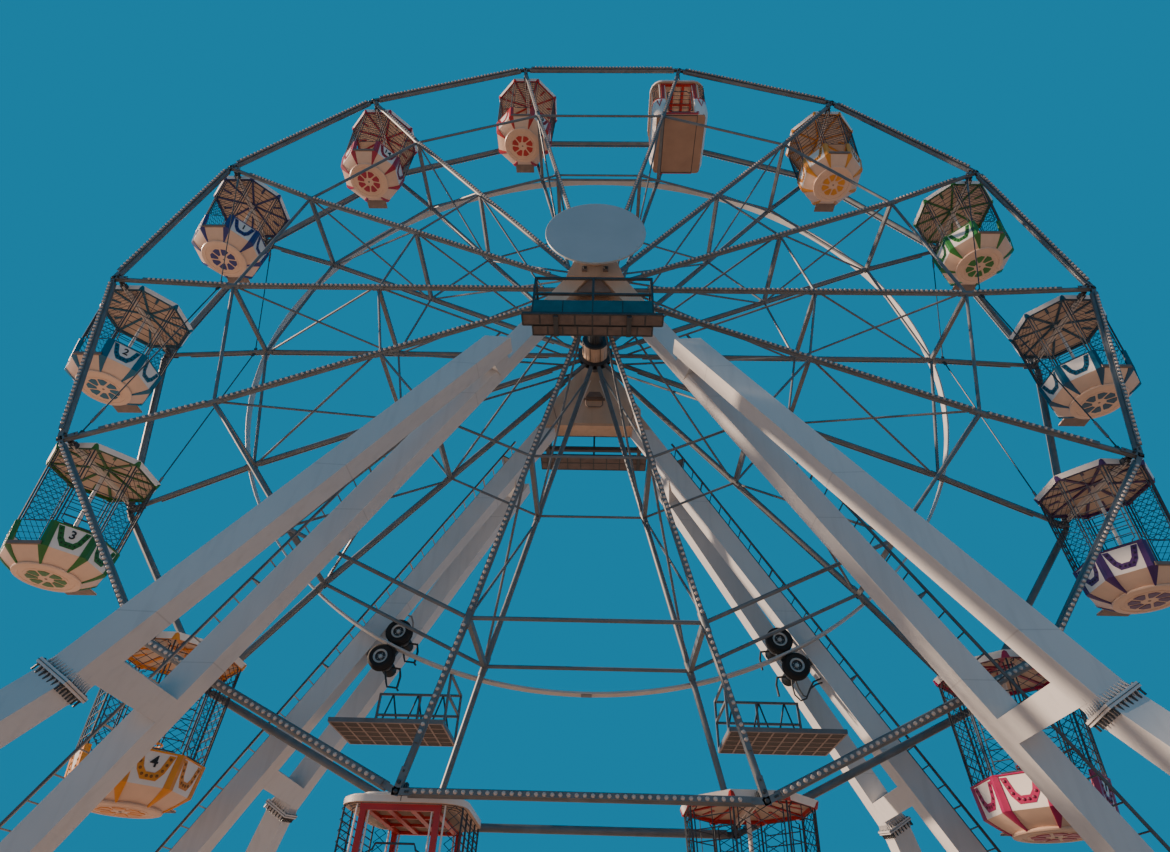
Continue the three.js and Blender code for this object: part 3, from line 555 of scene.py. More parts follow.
def hub_details():
    shape = Shape()
    near = SPOKE_DEPTH - SPOKE_TUBE
    far = SPOKE_DEPTH + SPOKE_TUBE
    near_flange = near - 0.0144
    end = far + 0.0144
    for s in (-1, 1):
        axis = BACK * s

        def turned(profile, sides, material):
            shape.lathe(profile, sides, Vector(), axis, material)

        turned([(SLEEVE_RADIUS, 0.0), (SLEEVE_RADIUS, SLEEVE_HALF)], 32, DARK_STEEL)
        # The drum's end face, from the sleeve out to the rim, is dark steel: painted shade on that face of
        # the tan drum
        turned([(SLEEVE_RADIUS, SLEEVE_HALF), (DRUM_RADIUS - 0.01, SLEEVE_HALF),
                (DRUM_RADIUS, SLEEVE_HALF + 0.01), (DRUM_RADIUS, DRUM_START)], 40, DARK_STEEL)
        turned([(DRUM_RADIUS, DRUM_START), (DRUM_RADIUS, near_flange)], 40, HEAD_PAINT)
        for low in (near_flange, far + 0.0004):
            turned([(DRUM_RADIUS, low), (FLANGE_RADIUS, low), (FLANGE_RADIUS, low + FLANGE),
                    (DRUM_RADIUS, low + FLANGE)], 48, DARK_STEEL)
        turned([(DRUM_RADIUS, near), (DRUM_RADIUS, far)], 40, DARK_STEEL)
        turned([(DRUM_RADIUS, end), (0.24, far + 0.03), (0.2, far + 0.07), (AXLE_RADIUS, 1.102),
                (AXLE_RADIUS, AXLE_END), (0.0, AXLE_END)], 32, STEEL)
        for k in range(8):
            a = 2 * math.pi * (k + 0.5) / 8
            spot = on_ray(a, DRUM_RADIUS + 0.004, 0)
            shape.bar(spot + axis * DRUM_START, spot + axis * (near - 0.02), 0.012, 0.012, DARK_STEEL,
                      tangent_at(a))
        for number in range(1, COUNT + 1):
            angle = node_angle(number)
            for aside in (-0.035, 0.035):
                centre = on_ray(angle, 0.365, s * end) + tangent_at(angle) * aside
                shape.dome(centre, axis, 0.015, 0.014, STEEL, 6)
    shape.build("hub_drum", "wheel", "wheel_hub", HUB)


hub_details()


# Gondolas, built round their pivot line

FRONT_FACE = 5
NUMBER_FACE = 6
BAR_FACES = (0, 2, 4, 6)
TUB_TOP = (0.850, -1.520)
TUB_KNEE = (0.800, -1.950)
TUB_TIP = (0.505, -2.150)
ROOF_RADIUS = 0.922
ROOF_EDGE = -0.012
DOOR_HALF = 0.275
HAND_WHEEL_HEIGHT = -1.28
HAND_WHEEL_RADIUS = 0.2
BEAM_REACH = 1.025
POST_RADIUS = 0.013
RUNG_RADIUS = 0.008
WIRE_RADIUS = 0.0055
CELL_HEIGHT = 0.125


def corner(k, radius, z, turn=0):
    """Corner k of the octagon, turned by some degrees."""
    a = math.radians(22.5 + 45 * k + turn)
    return vec(radius * math.cos(a), radius * math.sin(a), z)


def side_ends(k, radius, z):
    """Both corners of one side of the octagon."""
    return corner(k, radius, z), corner(k + 1, radius, z)


def on_side(quad, u, v):
    """Point of a four-cornered side, u across it and v up it."""
    bottom_left, bottom_right, top_right, top_left = quad
    return mix(mix(bottom_left, bottom_right, u), mix(top_left, top_right, u), v)


def tub_face(shape, face, trim, stud):
    top_a, top_b = side_ends(face, *TUB_TOP)
    knee_a, knee_b = side_ends(face, *TUB_KNEE)
    tip_a, tip_b = side_ends(face, *TUB_TIP)
    normal = (top_b - top_a).cross(top_a - knee_a).normalized()
    if normal.dot(top_a) < 0:
        normal = -normal
    spans = ((0.0, 1.0),)
    if face == FRONT_FACE:
        edge = 0.5 - DOOR_HALF / (top_b - top_a).length
        spans = ((0.0, edge), (1.0 - edge, 1.0))
    for u0, u1 in spans:
        outer = [[mix(a, b, u) for u in (u0, u1)] for a, b in ((top_a, top_b), (knee_a, knee_b))]
        inner = [[p - normal * 0.04 for p in row] for row in outer]
        shape.grid(outer, inner, SHELL)
    rows = 5
    belly = []
    for i in range(rows + 1):
        t = i / rows
        sag = 0.012 * math.sin(math.pi * t)
        a, b = mix(knee_a, tip_a, t), mix(knee_b, tip_b, t)
        belly.append([mix(a, b, u) + normal * sag for u in (0, 0.5, 1)])
    # Lower panels in the belly colour: painted warm shade on the white shell
    shape.grid(belly, [[p + UP * 0.03 for p in row] for row in belly], BELLY_PAINTED_SHADE)
    if face == FRONT_FACE:
        lift = normal * 0.014 + UP * 0.03
        ends = [mix(knee_a, knee_b, u) + lift for u in (0.04, 0.96)]
        shape.bar(*ends, 0.05, 0.06, SILL)
        return
    shape.tube([top_a, top_b], 0.014, 8, trim)

    # U shaped motif on the panel, with round studs
    def panel(u, v):
        return on_side((knee_a, knee_b, top_b, top_a), u, v)

    outside = [(0.12, 0.93), (0.22, 0.40), (0.34, 0.15), (0.66, 0.15), (0.78, 0.40), (0.88, 0.93)]
    inside = [(0.25, 0.93), (0.335, 0.51), (0.41, 0.38), (0.59, 0.38), (0.665, 0.51), (0.75, 0.93)]
    lifted = [[panel(u, v) + normal * 0.006 for u, v in line] for line in (outside, inside)]
    shape.grid(lifted, [[p - normal * 0.012 for p in row] for row in lifted], trim)
    half = [(0.20, 0.82), (0.235, 0.64), (0.275, 0.46), (0.345, 0.30), (0.45, 0.265)]
    for u, v in half + [(1 - u, v) for u, v in half]:
        shape.dome(panel(u, v) + normal * 0.006, normal, 0.022, 0.014, stud, 8)


def tub_rib(shape, k, trim):
    """Flat corner band that wraps the corner and tapers along the belly."""
    outer = []
    inner = []
    half_way = [mix(knee, tip, 0.5) for knee, tip in zip(TUB_KNEE, TUB_TIP)]
    levels = (
        (TUB_TOP[0], TUB_TOP[1] + 0.012, 0.070), (*TUB_KNEE, 0.082), (*half_way, 0.045), (*TUB_TIP, 0.012),
    )
    for radius, z, width in levels:
        point = corner(k, radius, z)
        before = (corner(k - 1, radius, z) - point).normalized()
        after = (corner(k + 1, radius, z) - point).normalized()
        push = vec(point.x, point.y, 0).normalized() * 0.012
        if z < TUB_KNEE[1] - 0.01:
            push = push - UP * 0.016
        row = [point + before * width + push, point + push * 1.1, point + after * width + push]
        outer.append(row)
        inner.append([p - push * 2.2 for p in row])
    shape.grid(outer, inner, trim)


def bottom_disc(shape, trim):
    profile = [
        (0.45, -2.11), (0.49, -2.125), (0.515, -2.142), (0.522, -2.160), (0.512, -2.178), (0.49, -2.186),
        (0.42, -2.190), (0.412, -2.178), (0.345, -2.178), (0.337, -2.188), (0.0, -2.188),
    ]
    # Bottom disc in the belly colour: painted warm shade on the white shell
    shape.lathe(profile, 48, Vector(), UP, BELLY_PAINTED_SHADE)
    petal = ((0.125, -15), (0.13, 10), (0.24, 21), (0.285, 22), (0.31, 6), (0.30, -13), (0.22, -15))
    for k in range(8):
        shape.plate([corner(k, radius, -2.196, turn) for radius, turn in petal], UP * 0.01, trim)
    shape.dome(UP * -2.187, -UP, 0.025, 0.012, SILL, 10)


def octagon_roof(shape, trim):
    e = ROOF_EDGE
    inside = ROOF_RADIUS - 0.055
    peak = UP * (e + 0.25)
    centre = UP * (e + 0.19)
    for k in range(8):
        low_a, low_b = side_ends(k, ROOF_RADIUS, e)
        high_a, high_b = side_ends(k, ROOF_RADIUS + 0.03, e + 0.095)
        crown_a, crown_b = side_ends(k, 0.14, e + 0.23)
        inner_a, inner_b = side_ends(k, inside, e)
        under_a, under_b = side_ends(k, inside, e + 0.05)
        shape.add([low_a, low_b, high_b, high_a], [(0, 1, 2, 3)], SHELL)
        shape.add([high_a, high_b, crown_b, crown_a], [(0, 1, 2, 3)], SHELL)
        shape.add([crown_a, crown_b, peak], [(0, 1, 2)], SHELL)
        shape.add([low_b, low_a, inner_a, inner_b], [(0, 1, 2, 3)], trim)
        shape.add([inner_b, inner_a, under_a, under_b], [(0, 1, 2, 3)], trim)
        shape.add([under_b, under_a, centre], [(0, 1, 2)], CEILING)
        # Corner cap and radial rib
        out = vec(low_a.x, low_a.y, 0).normalized()
        around = vec(-out.y, out.x, 0)
        for turn in (-1, 1):
            cap = [low_a + out * x + around * turn * y + UP * z for x, y, z in
                   ((0.006, 0, -0.012), (0.036, 0, 0.085), (0.0174, 0.03, 0.07), (-0.0192, 0.06, -0.012))]
            shape.plate(cap, -out * 0.02, trim)
        drop = UP * 0.012
        shape.bar(under_a - drop, centre - drop, 0.045, 0.022, trim, around)
        middle = mix(under_a, under_b, 0.5)
        strap = [mix(middle, centre, t) - UP * 0.004 for t in (0.06, 0.30)]
        shape.bar(*strap, 0.05, 0.014, trim, (under_b - under_a).normalized())
    shape.lathe([(0.0, e + 0.15), (0.07, e + 0.15), (0.1, e + 0.18)], 16, Vector(), UP, trim)


def neighbours(quad, i):
    """Directions from one corner of a side to the two next to it."""
    return (quad[i - 1] - quad[i]).normalized(), (quad[(i + 1) % 4] - quad[i]).normalized()


def hoop(shape, quad, inset, radius, material, bend=0.06):
    """Rounded tube frame set inside a side, corners given bottom left first, anticlockwise."""
    pulled = [p + sum(neighbours(quad, i), Vector()) * inset for i, p in enumerate(quad)]
    points = []
    for i, p in enumerate(pulled):
        left, right = neighbours(pulled, i)
        points += [p + left * bend, p + (left + right) * bend * 0.71, p + right * bend]
    shape.tube(points, radius, 6, material, closed=True)


def diamond_wires(shape, quad, cell_width, material):
    """Two crossing sets of wires over a four-cornered side."""
    width = (quad[1] - quad[0]).length
    height = (quad[3] - quad[0]).length
    step = CELL_HEIGHT / height
    slope = step / (cell_width / width)

    for falling in (False, True):
        start = -slope
        while start < 1 + slope:
            first = max(0.0, -start / slope)
            last = min(1.0, (1 - start) / slope)
            if last - first > 0.03:
                ends = [on_side(quad, t, start + slope * t) for t in (first, last)]
                if falling:
                    ends = [on_side(quad, 1 - t, start + slope * t) for t in (last, first)]
                shape.tube(ends, WIRE_RADIUS, 3, material, caps=False)
            start += step


def octagon_cage(shape, trim):
    foot_z = TUB_TOP[1] + 0.01
    top_z = ROOF_EDGE + 0.02
    for k in range(8):
        shape.tube([corner(k, 0.828, foot_z - 0.02), corner(k, 0.893, top_z)], POST_RADIUS, 8, WIRE)
        foot = side_ends(k, 0.828, foot_z)
        top = side_ends(k, 0.893, top_z)
        quad = [mix(*foot, 0.05), mix(*foot, 0.95), mix(*top, 0.95), mix(*top, 0.05)]
        hoop(shape, quad, 0.02, 0.009, WIRE)
        shares = ((0.04, 0.02), (0.96, 0.02), (0.96, 0.98), (0.04, 0.98))
        inner = [on_side(quad, u, v) for u, v in shares]
        if k in BAR_FACES:
            for i in range(1, 10):
                rung = [on_side(inner, u, i / 10) for u in (0, 1)]
                shape.tube(rung, RUNG_RADIUS, 5, WIRE, caps=False)
            shape.tube([on_side(inner, 0.5, v) for v in (0, 1)], 0.006, 4, WIRE, caps=False)
        else:
            diamond_wires(shape, inner, 0.21, WIRE)
    shape.tube([vec(0, 0, -1.94), vec(0, 0, 0.17)], 0.03, 16, WHITE_POST)
    centre = vec(0, 0, HAND_WHEEL_HEIGHT)
    shape.tube(circle(centre, HAND_WHEEL_RADIUS, 24, RIGHT, BACK), 0.014, 8, trim, closed=True)
    for end in circle(centre, HAND_WHEEL_RADIUS, 3, RIGHT, BACK):
        shape.tube([centre, end], 0.01, 6, trim)
    for s in (-1, 1):
        shape.block((s * 0.52, -0.3, -1.66), (s * 0.77, 0.3, -1.62), SHELL)


def suspension(shape):
    """Twin bars with a bearing block at each end."""
    end = BEAM_REACH - 0.03
    for x in (-0.03, 0.03):
        shape.block((x - 0.009, -end, -0.036), (x + 0.009, end, 0.036), WHITE_POST)
    bearing = [(0.034, 0.945), (0.05, 0.945), (0.05, BEAM_REACH), (0.034, BEAM_REACH), (0.034, 0.945)]
    for s in (-1, 1):
        shape.lathe(bearing, 16, Vector(), BACK * s, DARK_STEEL)
        for x in (-0.045, 0.045):
            shape.block((x - 0.012, s * 0.86, -0.045), (x + 0.012, s * 0.96, 0.045), WIRE)


def number_plate(number, body, offset):
    """Plain number on the front right panel, as a thin raised mesh."""
    top_a, top_b = side_ends(NUMBER_FACE, *TUB_TOP)
    knee_a, knee_b = side_ends(NUMBER_FACE, *TUB_KNEE)
    across = (top_b - top_a).normalized()
    upward = (mix(top_a, top_b, 0.5) - mix(knee_a, knee_b, 0.5)).normalized()
    normal = across.cross(upward)
    curve = bpy.data.curves.new(f"number_{number:02d}", "FONT")
    curve.body = str(number)
    curve.size = 0.2
    curve.align_x = "CENTER"
    curve.align_y = "CENTER"
    curve.extrude = 0.003
    curve.offset = 0.004
    holder = bpy.data.objects.new("holder", curve)
    bpy.context.scene.collection.objects.link(holder)
    mesh = bpy.data.meshes.new_from_object(holder)
    bpy.data.objects.remove(holder)
    matrix = Matrix((across, upward, normal)).transposed().to_4x4()
    centre = on_side((knee_a, knee_b, top_b, top_a), 0.5, 0.68)
    matrix.translation = centre + normal * 0.006 + offset
    mesh.transform(matrix)
    mesh.materials.clear()
    mesh.materials.append(NUMBER)
    piece = bpy.data.objects.new(f"number_{number:02d}", mesh)
    bpy.context.scene.collection.objects.link(piece)
    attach(piece, body)


def octagon_tub(shape, trim, stud):
    for face in range(8):
        tub_face(shape, face, trim, stud)
        tub_rib(shape, face, trim)
    bottom_disc(shape, trim)
    shape.plate([corner(k, 0.77, -1.93) for k in range(8)], UP * 0.02, FLOOR_BROWN)
    shape.block((-0.27, 0.54, -2.03), (0.27, 0.9, -2.018), SILL)
    shape.block((-0.265, 0.54, -2.018), (0.265, 0.895, -1.995), BELLY_PAINTED_SHADE)


BOX_HALF_X = 0.798
BOX_HALF_Y = 0.893
BOX_BOTTOM = -2.06
BOX_FLAT = 0.65
BOX_ROOF_EDGE = -0.19
BOX_ROOF_X = 0.815
BOX_ROOF_Y = 0.935
BOX_DOOR_X = 0.47
BOX_END_Y = 0.84


def rounded(half_x, half_y, radius, z, steps=5):
    """Rectangle with round corners, anticlockwise from above."""
    points = []
    for sx, sy, start in ((1, 1, 0), (-1, 1, 90), (-1, -1, 180), (1, -1, 270)):
        for i in range(steps + 1):
            a = math.radians(start + i * 90 / steps)
            x = sx * (half_x - radius) + radius * math.cos(a)
            y = sy * (half_y - radius) + radius * math.sin(a)
            points.append(vec(x, y, z))
    return points


def ring_band(shape, lower, upper, material):
    shape.add(lower + upper, band_faces(len(lower)), material)


def box_shell(shape, trim):
    """Side shells that bulge and turn the corners, open at the middle of the front and back."""
    levels = (
        (BOX_FLAT, BOX_BOTTOM), (0.735, -1.985), (0.768, -1.89), (0.79, -1.72), (BOX_HALF_X, -1.56),
        (0.79, -1.35), (0.768, -1.15),
    )
    bend = 0.22
    for s in (-1, 1):
        outer = []
        for half, z in levels:
            length = BOX_HALF_Y - (BOX_HALF_X - half) * 0.4
            path = [(0.42, -length), (half - bend, -length)]
            for i in range(1, 6):
                a = math.radians(90 * i / 6)
                path.append((half - bend + bend * math.sin(a), -length + bend - bend * math.cos(a)))
            path.append((half, -length + bend))
            path += [(x, -y) for x, y in reversed(path)]
            outer.append([vec(s * x, y, z) for x, y in path])
        inner = [[vec(p.x - s * 0.035, p.y * 0.96, p.z) for p in row] for row in outer]
        if s > 0:
            outer.reverse()
            inner.reverse()
        shape.grid(outer, inner, SHELL)
        rail = [p + UP * 0.01 for p in (outer[0] if s > 0 else outer[-1])]
        shape.tube(rail, 0.016, 8, trim)
        for face in (-1, 1):
            y = face * (BOX_HALF_Y - 0.001)
            line = [vec(s * x, y, z) for x, z in ((0.53, -1.24), (0.60, -1.62), (0.66, -1.30))]
            shape.tube(line, 0.02, 6, trim)
    low = rounded(BOX_FLAT + 0.04, BOX_HALF_Y - 0.03, 0.1, BOX_BOTTOM)
    shape.plate([p - UP * 0.006 for p in low], UP * 0.06, FLOOR_BROWN)
    ring_band(shape, low, rounded(0.735, BOX_HALF_Y - 0.01, 0.22, -1.985), SHELL)
    under = BOX_BOTTOM - 0.006
    for x in (-0.46, 0.46):
        shape.bar(vec(x, -BOX_END_Y, under), vec(x, BOX_END_Y, under), 0.018, 0.006, DARK_STEEL, RIGHT)
    for face in (-1, 1):
        y = face * BOX_END_Y
        shape.bar(vec(-0.46, y, under), vec(0.46, y, under), 0.022, 0.006, DARK_STEEL)
        # Door sill in the trim colour
        edge = face * (BOX_HALF_Y - 0.004)
        low = (-BOX_DOOR_X, y, BOX_BOTTOM + 0.006)
        shape.block(low, (BOX_DOOR_X, edge, BOX_BOTTOM + 0.078), trim)


def box_cage(shape, trim):
    top = BOX_ROOF_EDGE
    foot = BOX_BOTTOM + 0.03
    for face in (-1, 1):
        y = face * 0.85
        side_y = y * 0.96
        for s in (-1, 1):
            x = s * BOX_DOOR_X
            shape.block((x - 0.038, y - 0.03, foot), (x + 0.038, y + 0.03, top + 0.005), trim)
            for x, low in ((s * 0.40, -1.1), (s * 0.56, -1.15)):
                shape.tube([vec(x, y, low), vec(x, y, top)], POST_RADIUS, 8, WHITE_POST)
            quad = [
                vec(s * 0.60, y, -1.13), vec(s * 0.74, side_y, -1.13), vec(s * 0.76, side_y, top),
                vec(s * 0.60, y, top),
            ]
            diamond_wires(shape, quad, 0.14, WIRE)
        shape.block((-0.515, y - 0.032, top - 0.08), (0.515, y + 0.032, top + 0.008), trim)
        shape.block((-BOX_DOOR_X, y - 0.028, foot), (BOX_DOOR_X, y + 0.028, BOX_BOTTOM + 0.085), trim)
        door = [vec(x, y, z) for x, z in ((-0.36, -1.9), (0.36, -1.9), (0.36, -0.62), (-0.36, -0.62))]
        hoop(shape, door, 0.02, 0.014, WIRE, 0.1)
        for i in range(1, 5):
            z = -1.9 + i * 0.25
            shape.tube([vec(-0.34, y, z), vec(0.34, y, z)], RUNG_RADIUS, 6, WIRE)
    for s in (-1, 1):
        for y in (-0.72, -0.36, 0, 0.36, 0.72):
            shape.tube([vec(s * 0.755, y, -1.15), vec(s * 0.765, y, top)], POST_RADIUS, 8, WIRE)
        for i in range(1, 10):
            z = mix(-1.13, top, i / 10)
            rung = [vec(s * 0.76, y, z) for y in (-0.72, 0.72)]
            shape.tube(rung, RUNG_RADIUS, 6, WIRE, caps=False)
        shape.block((s * 0.52, -0.6, -1.62), (s * 0.75, 0.6, -1.58), SHELL)


def box_roof(shape, trim):
    e = BOX_ROOF_EDGE
    radius = 0.36
    steps = 4
    step = 0.045
    fall = 0.014

    def outline(inset, bend, z):
        return rounded(BOX_ROOF_X - inset, BOX_ROOF_Y - inset, bend, z)

    ring_band(shape, outline(0, radius, e + 0.02), outline(0, radius, e + 0.085), SHELL)
    ring_band(shape, outline(0, radius, e + 0.085), outline(0.06, 0.3, e + 0.1), SHELL)
    for i in range(steps):
        inset = step * i
        z = e + 0.02 - fall * i
        outer = outline(inset, radius - inset, z)
        lowered = [p - UP * fall for p in outer]
        # Risers after the first wear the dark sill colour: painted shade in the creases between the steps
        ring_band(shape, outer, lowered, SHELL if i == 0 else SILL)
        ring_band(shape, lowered, outline(inset + step, radius - inset - step, z - fall), CEILING)
    last = step * steps
    shape.plate(outline(last, radius - last, e + 0.02 - fall * steps), UP * 0.02, CEILING)
    shape.plate(outline(0.05, 0.3, e + 0.095), UP * 0.012, SHELL)
    shape.plate(outline(0.2, 0.25, e + 0.1), UP * 0.065, SHELL)
    for x in (-0.43, -0.15, 0.15, 0.43):
        ends = [vec(x, y, e - 0.052) for y in (-BOX_END_Y, BOX_END_Y)]
        shape.bar(*ends, 0.075, 0.05, trim, RIGHT)
    for y in (-0.28, 0.28):
        shape.bar(vec(-0.45, y, e - 0.05), vec(0.45, y, e - 0.05), 0.04, 0.04, trim)
    for face in (-1, 1):
        y = face * (BOX_ROOF_Y + 0.001)
        shape.block((-0.006, y, e + 0.018), (0.006, y - face * 0.01, e + 0.086), STEEL)


def gondola(number, pivot):
    trim = TRIMS[number - 1]
    body = f"cabin_{number:02d}"
    tub = Shape()
    cage = Shape()
    roof = Shape()
    if number in BOX_GONDOLAS:
        box_shell(tub, trim)
        box_cage(cage, trim)
        box_roof(roof, trim)
    else:
        octagon_tub(tub, trim, STUDS[number - 1])
        octagon_cage(cage, trim)
        octagon_roof(roof, trim)
    suspension(roof)
    tub.build(f"tub_{number:02d}", body, f"gondola_{number:02d}", pivot)
    cage.build(f"cage_{number:02d}", body, None, pivot)
    roof.build(f"roof_{number:02d}", body, None, pivot)
    if number not in BOX_GONDOLAS:
        number_plate(number, body, pivot)


for n in range(1, COUNT + 1):
    gondola(n, HUB + on_ray(node_angle(n), PIVOT_RADIUS, 0))


# Tyres and drive units

TYRE_GAP = 0.005
TYRE_ANGLE = 26.13
MOTOR_Y = 1.47
FINS = 9


def tyre_centre(sx, kind):
    if kind == "inner":
        inside = DRIVE_RING_RADIUS - DRIVE_RING_THICKNESS / 2
        radius = inside * math.cos(math.pi / DRIVE_RING_SIDES) - TYRE_GAP - TYRE_RADIUS
    else:
        radius = DRIVE_RING_RADIUS + DRIVE_RING_THICKNESS / 2 + TYRE_GAP + TYRE_RADIUS
    a = math.radians(TYRE_ANGLE)
    return vec(sx * radius * math.sin(a), TYRE_DEPTH, HUB_HEIGHT - radius * math.cos(a))


def tyre(side, sx, kind):
    shape = Shape()
    centre = tyre_centre(sx, kind)
    outer = TYRE_RADIUS
    groove = outer - 0.008
    profile = [
        (0.125, -0.085), (0.19, -0.1), (0.222, -0.08), (outer, -0.055), (outer, -0.02), (groove, -0.015),
        (groove, 0.015), (outer, 0.02), (outer, 0.055), (0.222, 0.08), (0.19, 0.1), (0.125, 0.085),
    ]
    shape.lathe(profile, 40, centre, BACK, RUBBER)
    rim = [
        (0.0, -0.075), (0.034, -0.072), (0.04, -0.05), (0.085, -0.045), (0.092, -0.075), (0.118, -0.088),
        (0.127, -0.085),
    ]
    looks = [HUB_PAINT, HUB_PAINT, DARK_STEEL, DARK_STEEL, HUB_PAINT, HUB_PAINT]
    shape.lathe(rim, 32, centre, BACK, looks)
    shape.lathe([(0.036, 0.04), (0.1, 0.05), (0.127, 0.088)], 32, centre, BACK, HUB_PAINT)
    for spot in circle(centre - BACK * 0.047, 0.062, 5, RIGHT, UP):
        shape.dome(spot, -BACK, 0.009, 0.012, HUB_PAINT, 6)
    shape.build(f"tyre_{side}_{kind}", f"roller_{side}_{kind}", f"{side}_{kind}_tyre")


def drive_details(side, sx):
    shape = Shape()

    def pipe(centre, away, y, path, radius, material):
        """Bent tube at one depth; its points run from a tyre's centre."""
        shape.tube([vec(centre.x + away * x, y, centre.z + z) for x, z in path], radius, 8, material)

    for kind in ("inner", "outer"):
        c = tyre_centre(sx, kind)
        back = vec(c.x, MOTOR_Y, c.z)
        shape.lathe([(0.11, 0.0), (0.125, 0.02), (0.125, 0.1), (0.1, 0.14)], 24, back, BACK, DARK_STEEL)
        for i in range(FINS):
            start = 0.15 + 0.03 * i
            fin = [(0.1, start), (0.118, start + 0.005), (0.118, start + 0.015), (0.1, start + 0.02)]
            shape.lathe(fin, 20, back, BACK, DARK_STEEL)
        shape.block((c.x - 0.06, 1.6, c.z + 0.09), (c.x + 0.06, 1.78, c.z + 0.17), HUB_PAINT)
        post = [(0.08, -0.04), (0.26, -0.06), (0.29, -0.2), (0.27, -0.4)]
        pipe(c, -sx, 1.6, post, 0.02, DARK_STEEL)
        if sx < 0:
            arm = [(0.0, -0.09), (0.07, -0.32), (0.10, -0.40), (0.27, -0.42), (0.31, -0.47)]
            pipe(c, 1, 1.56, arm, 0.017, DARK_STEEL)
        elif kind == "outer":
            outer_hose = [
                (-0.03, -0.09), (-0.04, -0.25), (-0.02, -0.40), (0.07, -0.50), (0.17, -0.46), (0.25, -0.3),
                (0.34, -0.16), (0.48, -0.10),
            ]
            inner_hose = [
                (0.03, -0.09), (0.07, -0.28), (0.13, -0.40), (0.19, -0.42), (0.28, -0.27), (0.38, -0.2),
                (0.5, -0.16),
            ]
            pipe(c, 1, 1.5, outer_hose, 0.015, DARK_STEEL)
            pipe(c, 1, 1.53, inner_hose, 0.015, DARK_STEEL)
    if sx < 0:
        lever = [(0.05, 0.06), (0.17, 0.14), (0.15, 0.3), (0.1, 0.42), (0.03, 0.44)]
        pipe(tyre_centre(sx, "inner"), 1, 1.45, lever, 0.016, JOIST)
    shape.build(f"drive_parts_{side}", "supports")


for side, sx in SIDES:
    for kind in ("inner", "outer"):
        tyre(side, sx, kind)
    drive_details(side, sx)


# Platforms: deck panels, toe board and braces

FRONT_DECK_DROP = 2.896
BACK_DECK_DROP = 2.007
DRIVE_DECK_DROP = 8.42
BRACE_Y = 2.515


def deck_panels(shape, low, high, z, columns, rows, panel, joist):
    """Panels seen from below between joists."""
    gap = 0.014
    width = (high[0] - low[0]) / columns
    length = (high[1] - low[1]) / rows
    for i in range(columns):
        for j in range(rows):
            x = low[0] + i * width
            y = low[1] + j * length
            shape.block((x + gap, y + gap, z - 0.004), (x + width - gap, y + length - gap, z + 0.004), panel)
    for i in range(columns + 1):
        x = low[0] + i * width
        shape.block((x - gap, low[1], z - 0.01), (x + gap, high[1], z + 0.004), joist)
    for j in range(rows + 1):
        y = low[1] + j * length
        shape.block((low[0], y - gap, z - 0.009), (high[0], y + gap, z + 0.004), joist)


def platform_details():
    shape = Shape()
    floor = HUB_HEIGHT - FRONT_DECK_DROP
    for half, front, back in ((1.177, -2.753, -2.52), (1.014, -2.51, -2.303)):
        deck_panels(shape, (-half, front), (half, back), floor - 0.06, 8, 1, FLOOR_PANEL, DARK_STEEL)
    for i in range(4):
        x = -1.01 + i * 0.505
        shape.block((x + 0.01, -2.746, floor + 0.012), (x + 0.495, -2.737, floor + 0.315), TOE_BOARD)
    floor = HUB_HEIGHT - BACK_DECK_DROP
    deck_panels(shape, (-1.212, 2.143), (1.212, 2.643), floor - 0.06, 8, 2, FLOOR_PANEL, DARK_STEEL)
    floor = HUB_HEIGHT - DRIVE_DECK_DROP
    for sx in (-1, 1):
        low, high = sorted((sx * 2.38, sx * 4.27))
        deck_panels(shape, (low, 1.255), (high, 2.52), floor - 0.07, 8, 5, DECK, JOIST)
        for k in range(3):
            foot = vec(sx * (2.48 + 0.47 * k), BRACE_Y, floor)
            head = foot + RIGHT * sx * 0.235 + UP * 0.84
            shape.tube([foot, head], 0.015, 8, DARK_STEEL)
            shape.tube([head, foot + RIGHT * sx * 0.47], 0.015, 8, DARK_STEEL)
    shape.build("platform_panels", "supports")


platform_details()


# Legs: flange studs and stiffeners, ladder rungs, head fittings

LEG_DEPTH = 0.332
FLANGE_HALF = 0.03
LEG_SLOPE = 0.5788
INNER_LEG_Y = 1.565
KINK_DROP = 9.48
OUTER_TOP = 3.01
LADDER_TOP = 2.45
LADDER_BOTTOM = 12.76
LADDER_OFFSET = 0.35
LADDER_HALF = 0.158
RUNGS = 35
DISC_EDGE = 0.976
DISC_BOLTS = 0.93


def inner_point(sx, sy, drop):
    return vec(sx * LEG_SLOPE * drop, sy * INNER_LEG_Y, HUB_HEIGHT - drop)


def outer_point(sx, sy, drop):
    return vec(sx * (-0.177 + 0.5975 * drop), sy * (1.644 + 0.1648 * drop), HUB_HEIGHT - drop)


def flange_details(shape, kink, axis):
    """Joint line, studs and stiffeners of one outer leg's flange."""
    side = BACK.cross(axis).normalized()
    deep = axis.cross(side)
    face = axis * FLANGE_HALF
    shape.bar(kink - axis * 0.003, kink + axis * 0.003, 0.494, 0.454, DARK_STEEL, side)
    for i in range(7):
        t = -0.2 + 0.4 * i / 6
        for edge in (-1, 1):
            for centre in (kink + side * t + deep * edge * 0.2, kink + deep * t * 0.9 + side * edge * 0.22):
                shape.tube([centre + face, centre + axis * 0.11], 0.011, 6, DARK_STEEL)
                shape.dome(centre + face, axis, 0.021, 0.025, DARK_STEEL, 6)
                shape.dome(centre - face, -axis, 0.019, 0.016, STEEL, 6)
    for i in range(8):
        t = -0.16 + 0.32 * i / 7
        for edge in (-1, 1):
            for foot, out in ((kink + side * t + deep * edge * 0.166, deep * edge),
                              (kink + deep * t * 0.9 + side * edge * 0.186, side * edge)):
                across = axis.cross(out)
                for turn in (-1, 1):
                    start = foot + face * turn - across * 0.004
                    outline = [start, start + out * 0.04, foot + axis * turn * 0.13 - across * 0.004]
                    shape.plate(outline, across * 0.008, LEG_PAINT)


